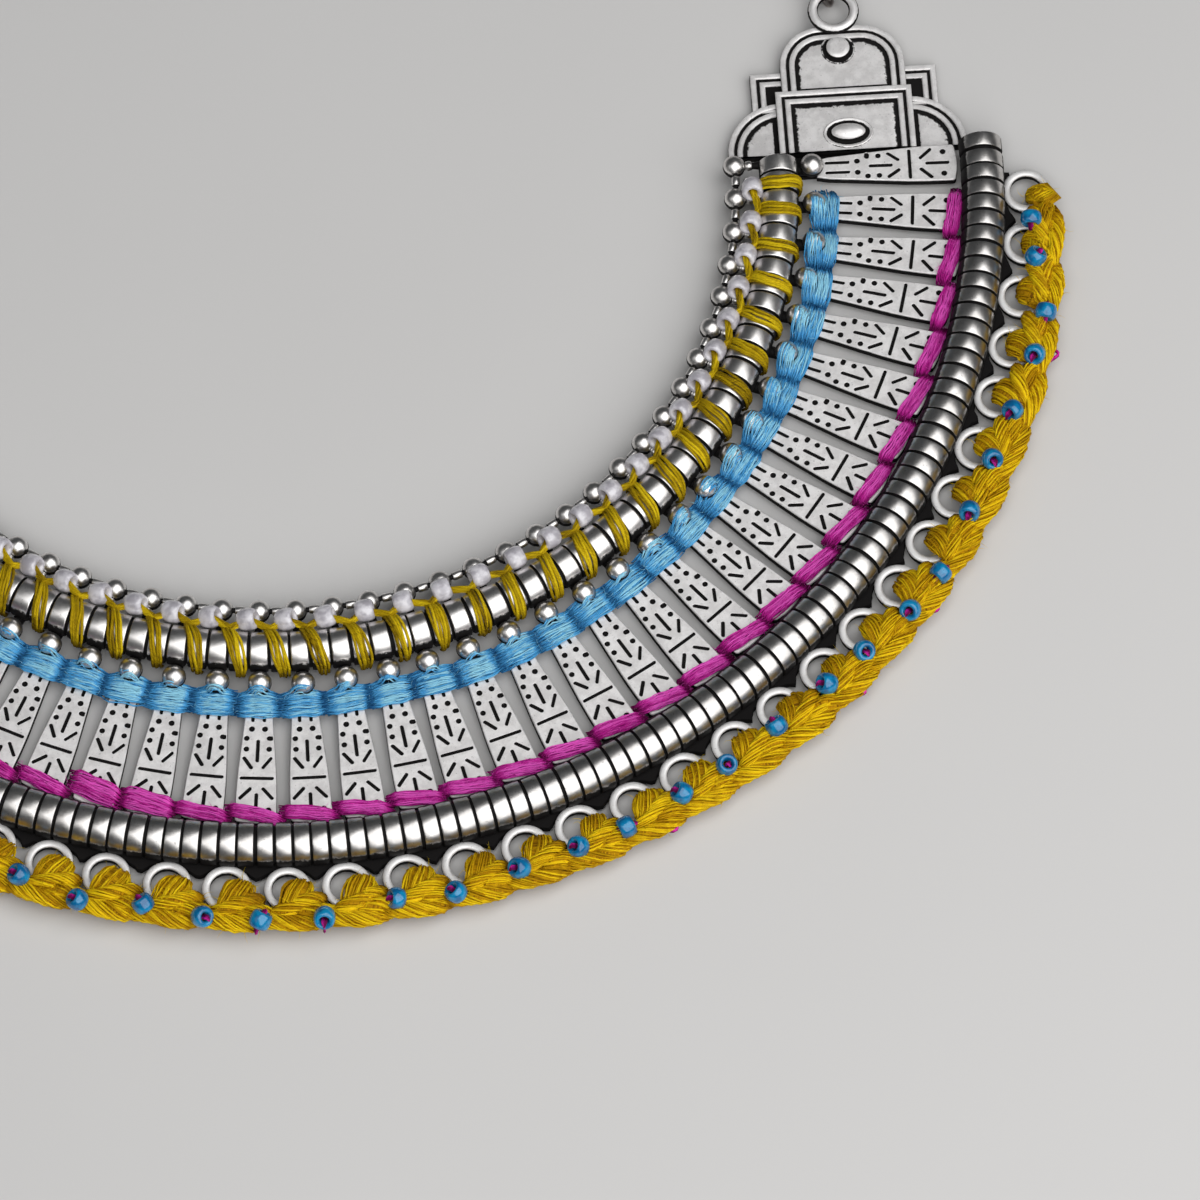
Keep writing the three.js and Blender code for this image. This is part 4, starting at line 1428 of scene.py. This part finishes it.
def link_rows():
    """Middle, tilt and height of each link of one side, from the plate's ring to the clasp."""
    lying = range(len(FIRST_LINKS), STRETCHES_PER_SIDE * LINKS_PER_STRETCH - len(LAST_LINKS))
    tilt, height = LYING_LINK
    poses = [*FIRST_LINKS, *((tilt * (-1) ** index, height) for index in lying), *LAST_LINKS]
    rows, begin = [], LINK["first"]
    for index, (tilt, height) in enumerate(poses):
        rows.append((begin + LINK["half_length"], math.radians(tilt), height))
        ends = (index + 1) % LINKS_PER_STRETCH == 0
        begin += 2 * LINK["half_length"] - LINK["free" if ends else "touch"]
    return rows


def oval_path(half_long, half_wide, steps):
    """A closed path between an oval and a rectangle with round corners."""
    turn = circle(steps)
    x = np.sign(np.cos(turn)) * np.abs(np.cos(turn)) ** 0.82 * half_long
    y = np.sign(np.sin(turn)) * np.abs(np.sin(turn)) ** 0.82 * half_wide
    return np.stack([x, y, np.zeros(steps)], -1)


def placed_link(path, middle, tilt, height):
    """Tilts a link about its length, and sets it along the chain's arc."""
    angle = CHAIN_START + middle / CHAIN_RADIUS
    heading = angle + TAU / 4
    x, y = path[:, 0], path[:, 1]
    return turned(x, y * math.cos(tilt), y * math.sin(tilt), heading) + at(CHAIN_RADIUS, angle, height)


def make_chain():
    oval = oval_path(LINK["half_length"], LINK["half_width"], 30)
    rows = link_rows()
    for side in ("right", "left"):
        for stretch in range(STRETCHES_PER_SIDE):
            shape = Shape()
            for middle, tilt, height in rows[stretch * LINKS_PER_STRETCH:(stretch + 1) * LINKS_PER_STRETCH]:
                path = placed_link(oval, middle, tilt, height)
                flat_side = np.cross(path[8] - path[0], path[15] - path[0])
                tubes(shape, path, LINK["wire"], 9, unit(flat_side), shade=0.12, closed=True)
            if side == "left":
                mirror(shape)
            name = f"{side}_links_{stretch + 1}"
            shape.build(name, [DARK_METAL], "dark_metal", [f"chain_{side}_{stretch + 1}"], sharp=60.0)


def make_clasp():
    low, high = box_mm("clasp")
    wire = 0.72
    centre = (low + high) / 2 - SHIFT
    half_long, half_wide = (high - low)[:2] / 2 - wire
    path = oval_path(half_long, half_wide, 40) + centre
    shape = Shape()
    tubes(shape, path, wire, 12, flat=0.75, shade=0.1, closed=True)
    shape.build("clasp_ring", [DARK_METAL], "dark_metal", ["clasp"], sharp=60.0)


# ---- Floor, light and camera ----

CAMERA = {"elevation": 64.283, "azimuth": -3.83, "distance": 1248.7, "lens": 282.8, "sensor": 36.0}
CAMERA_TARGET = np.array([40.07, -62.92, 2.25])


def direction(azimuth, elevation):
    """From the object towards a viewer: azimuth 0 is the -Y side, and 90 the +X side."""
    a, e = math.radians(azimuth), math.radians(elevation)
    return np.array([math.sin(a) * math.cos(e), -math.cos(a) * math.cos(e), math.sin(e)])


def make_floor():
    size = 1500.0
    mesh = bpy.data.meshes.new("floor")
    corners = [(-size, -size), (size, -size), (size, size), (-size, size)]
    mesh.from_pydata([(x * MM, y * MM, FLOOR_Z * MM) for x, y in corners], [], [(0, 1, 2, 3)])
    graph = Graph("pale_floor")
    cloud = graph.noise(graph.place(), 0.01, 3.0)
    graph.set(Base_Color=graph.blend(cloud, colour(0.64, 0.63, 0.62), colour(0.68, 0.67, 0.66)))
    graph.set(Roughness=0.7)
    mesh.materials.append(graph.material)
    floor = link_object("floor", mesh)


def aim(item, target, back, distance):
    """Sets a light or camera at a distance back from its target."""
    item.location = (target + back * distance + SHIFT) * MM
    item.rotation_mode = "QUATERNION"
    item.rotation_quaternion = Vector(-back).to_track_quat("-Z", "Y")


def make_light(name, azimuth, elevation, distance, size, power):
    light = bpy.data.lights.new(name, "AREA")
    light.shape = "SQUARE"
    light.size = size * MM
    light.energy = power
    target = CAMERA_TARGET * (1, 1, 0)
    aim(link_object(name, light), target, direction(azimuth, elevation), distance)


def make_camera():
    data = bpy.data.cameras.new("camera")
    data.lens = CAMERA["lens"]
    data.sensor_width = CAMERA["sensor"]
    data.clip_start, data.clip_end = 0.05, 20.0
    camera = link_object("camera", data)
    aim(camera, CAMERA_TARGET, direction(CAMERA["azimuth"], CAMERA["elevation"]), CAMERA["distance"])
    bpy.context.scene.camera = camera


def make_studio():
    make_floor()
    make_light("key", 40, 58, 620, 1050, 6.9)
    make_light("fill", -70, 45, 900, 500, 0.4)
    world = bpy.data.worlds.new("studio")
    world.use_nodes = True
    world.node_tree.nodes["Background"].inputs[0].default_value = colour(0.9, 0.95, 1.0)
    world.node_tree.nodes["Background"].inputs[1].default_value = 0.05
    bpy.context.scene.world = world
    bpy.context.scene.view_settings.view_transform = "Standard"
    make_camera()


# ---- Assembly ----
make_wedges()
make_inner_tube()
make_pearls()
make_wraps()
make_outer_tube()
make_loops()
make_solder_and_shadow_web()
make_band("blue_floss_band", BLUE_BAND, BLUE_FLOSS, "blue_floss", "blue_thread")
make_band("magenta_floss_band", MAGENTA_BAND, MAGENTA_FLOSS, "magenta_floss", "magenta_thread")
make_crochet()
make_crochet_beads()
make_plates()
make_chain()
make_clasp()
make_studio()
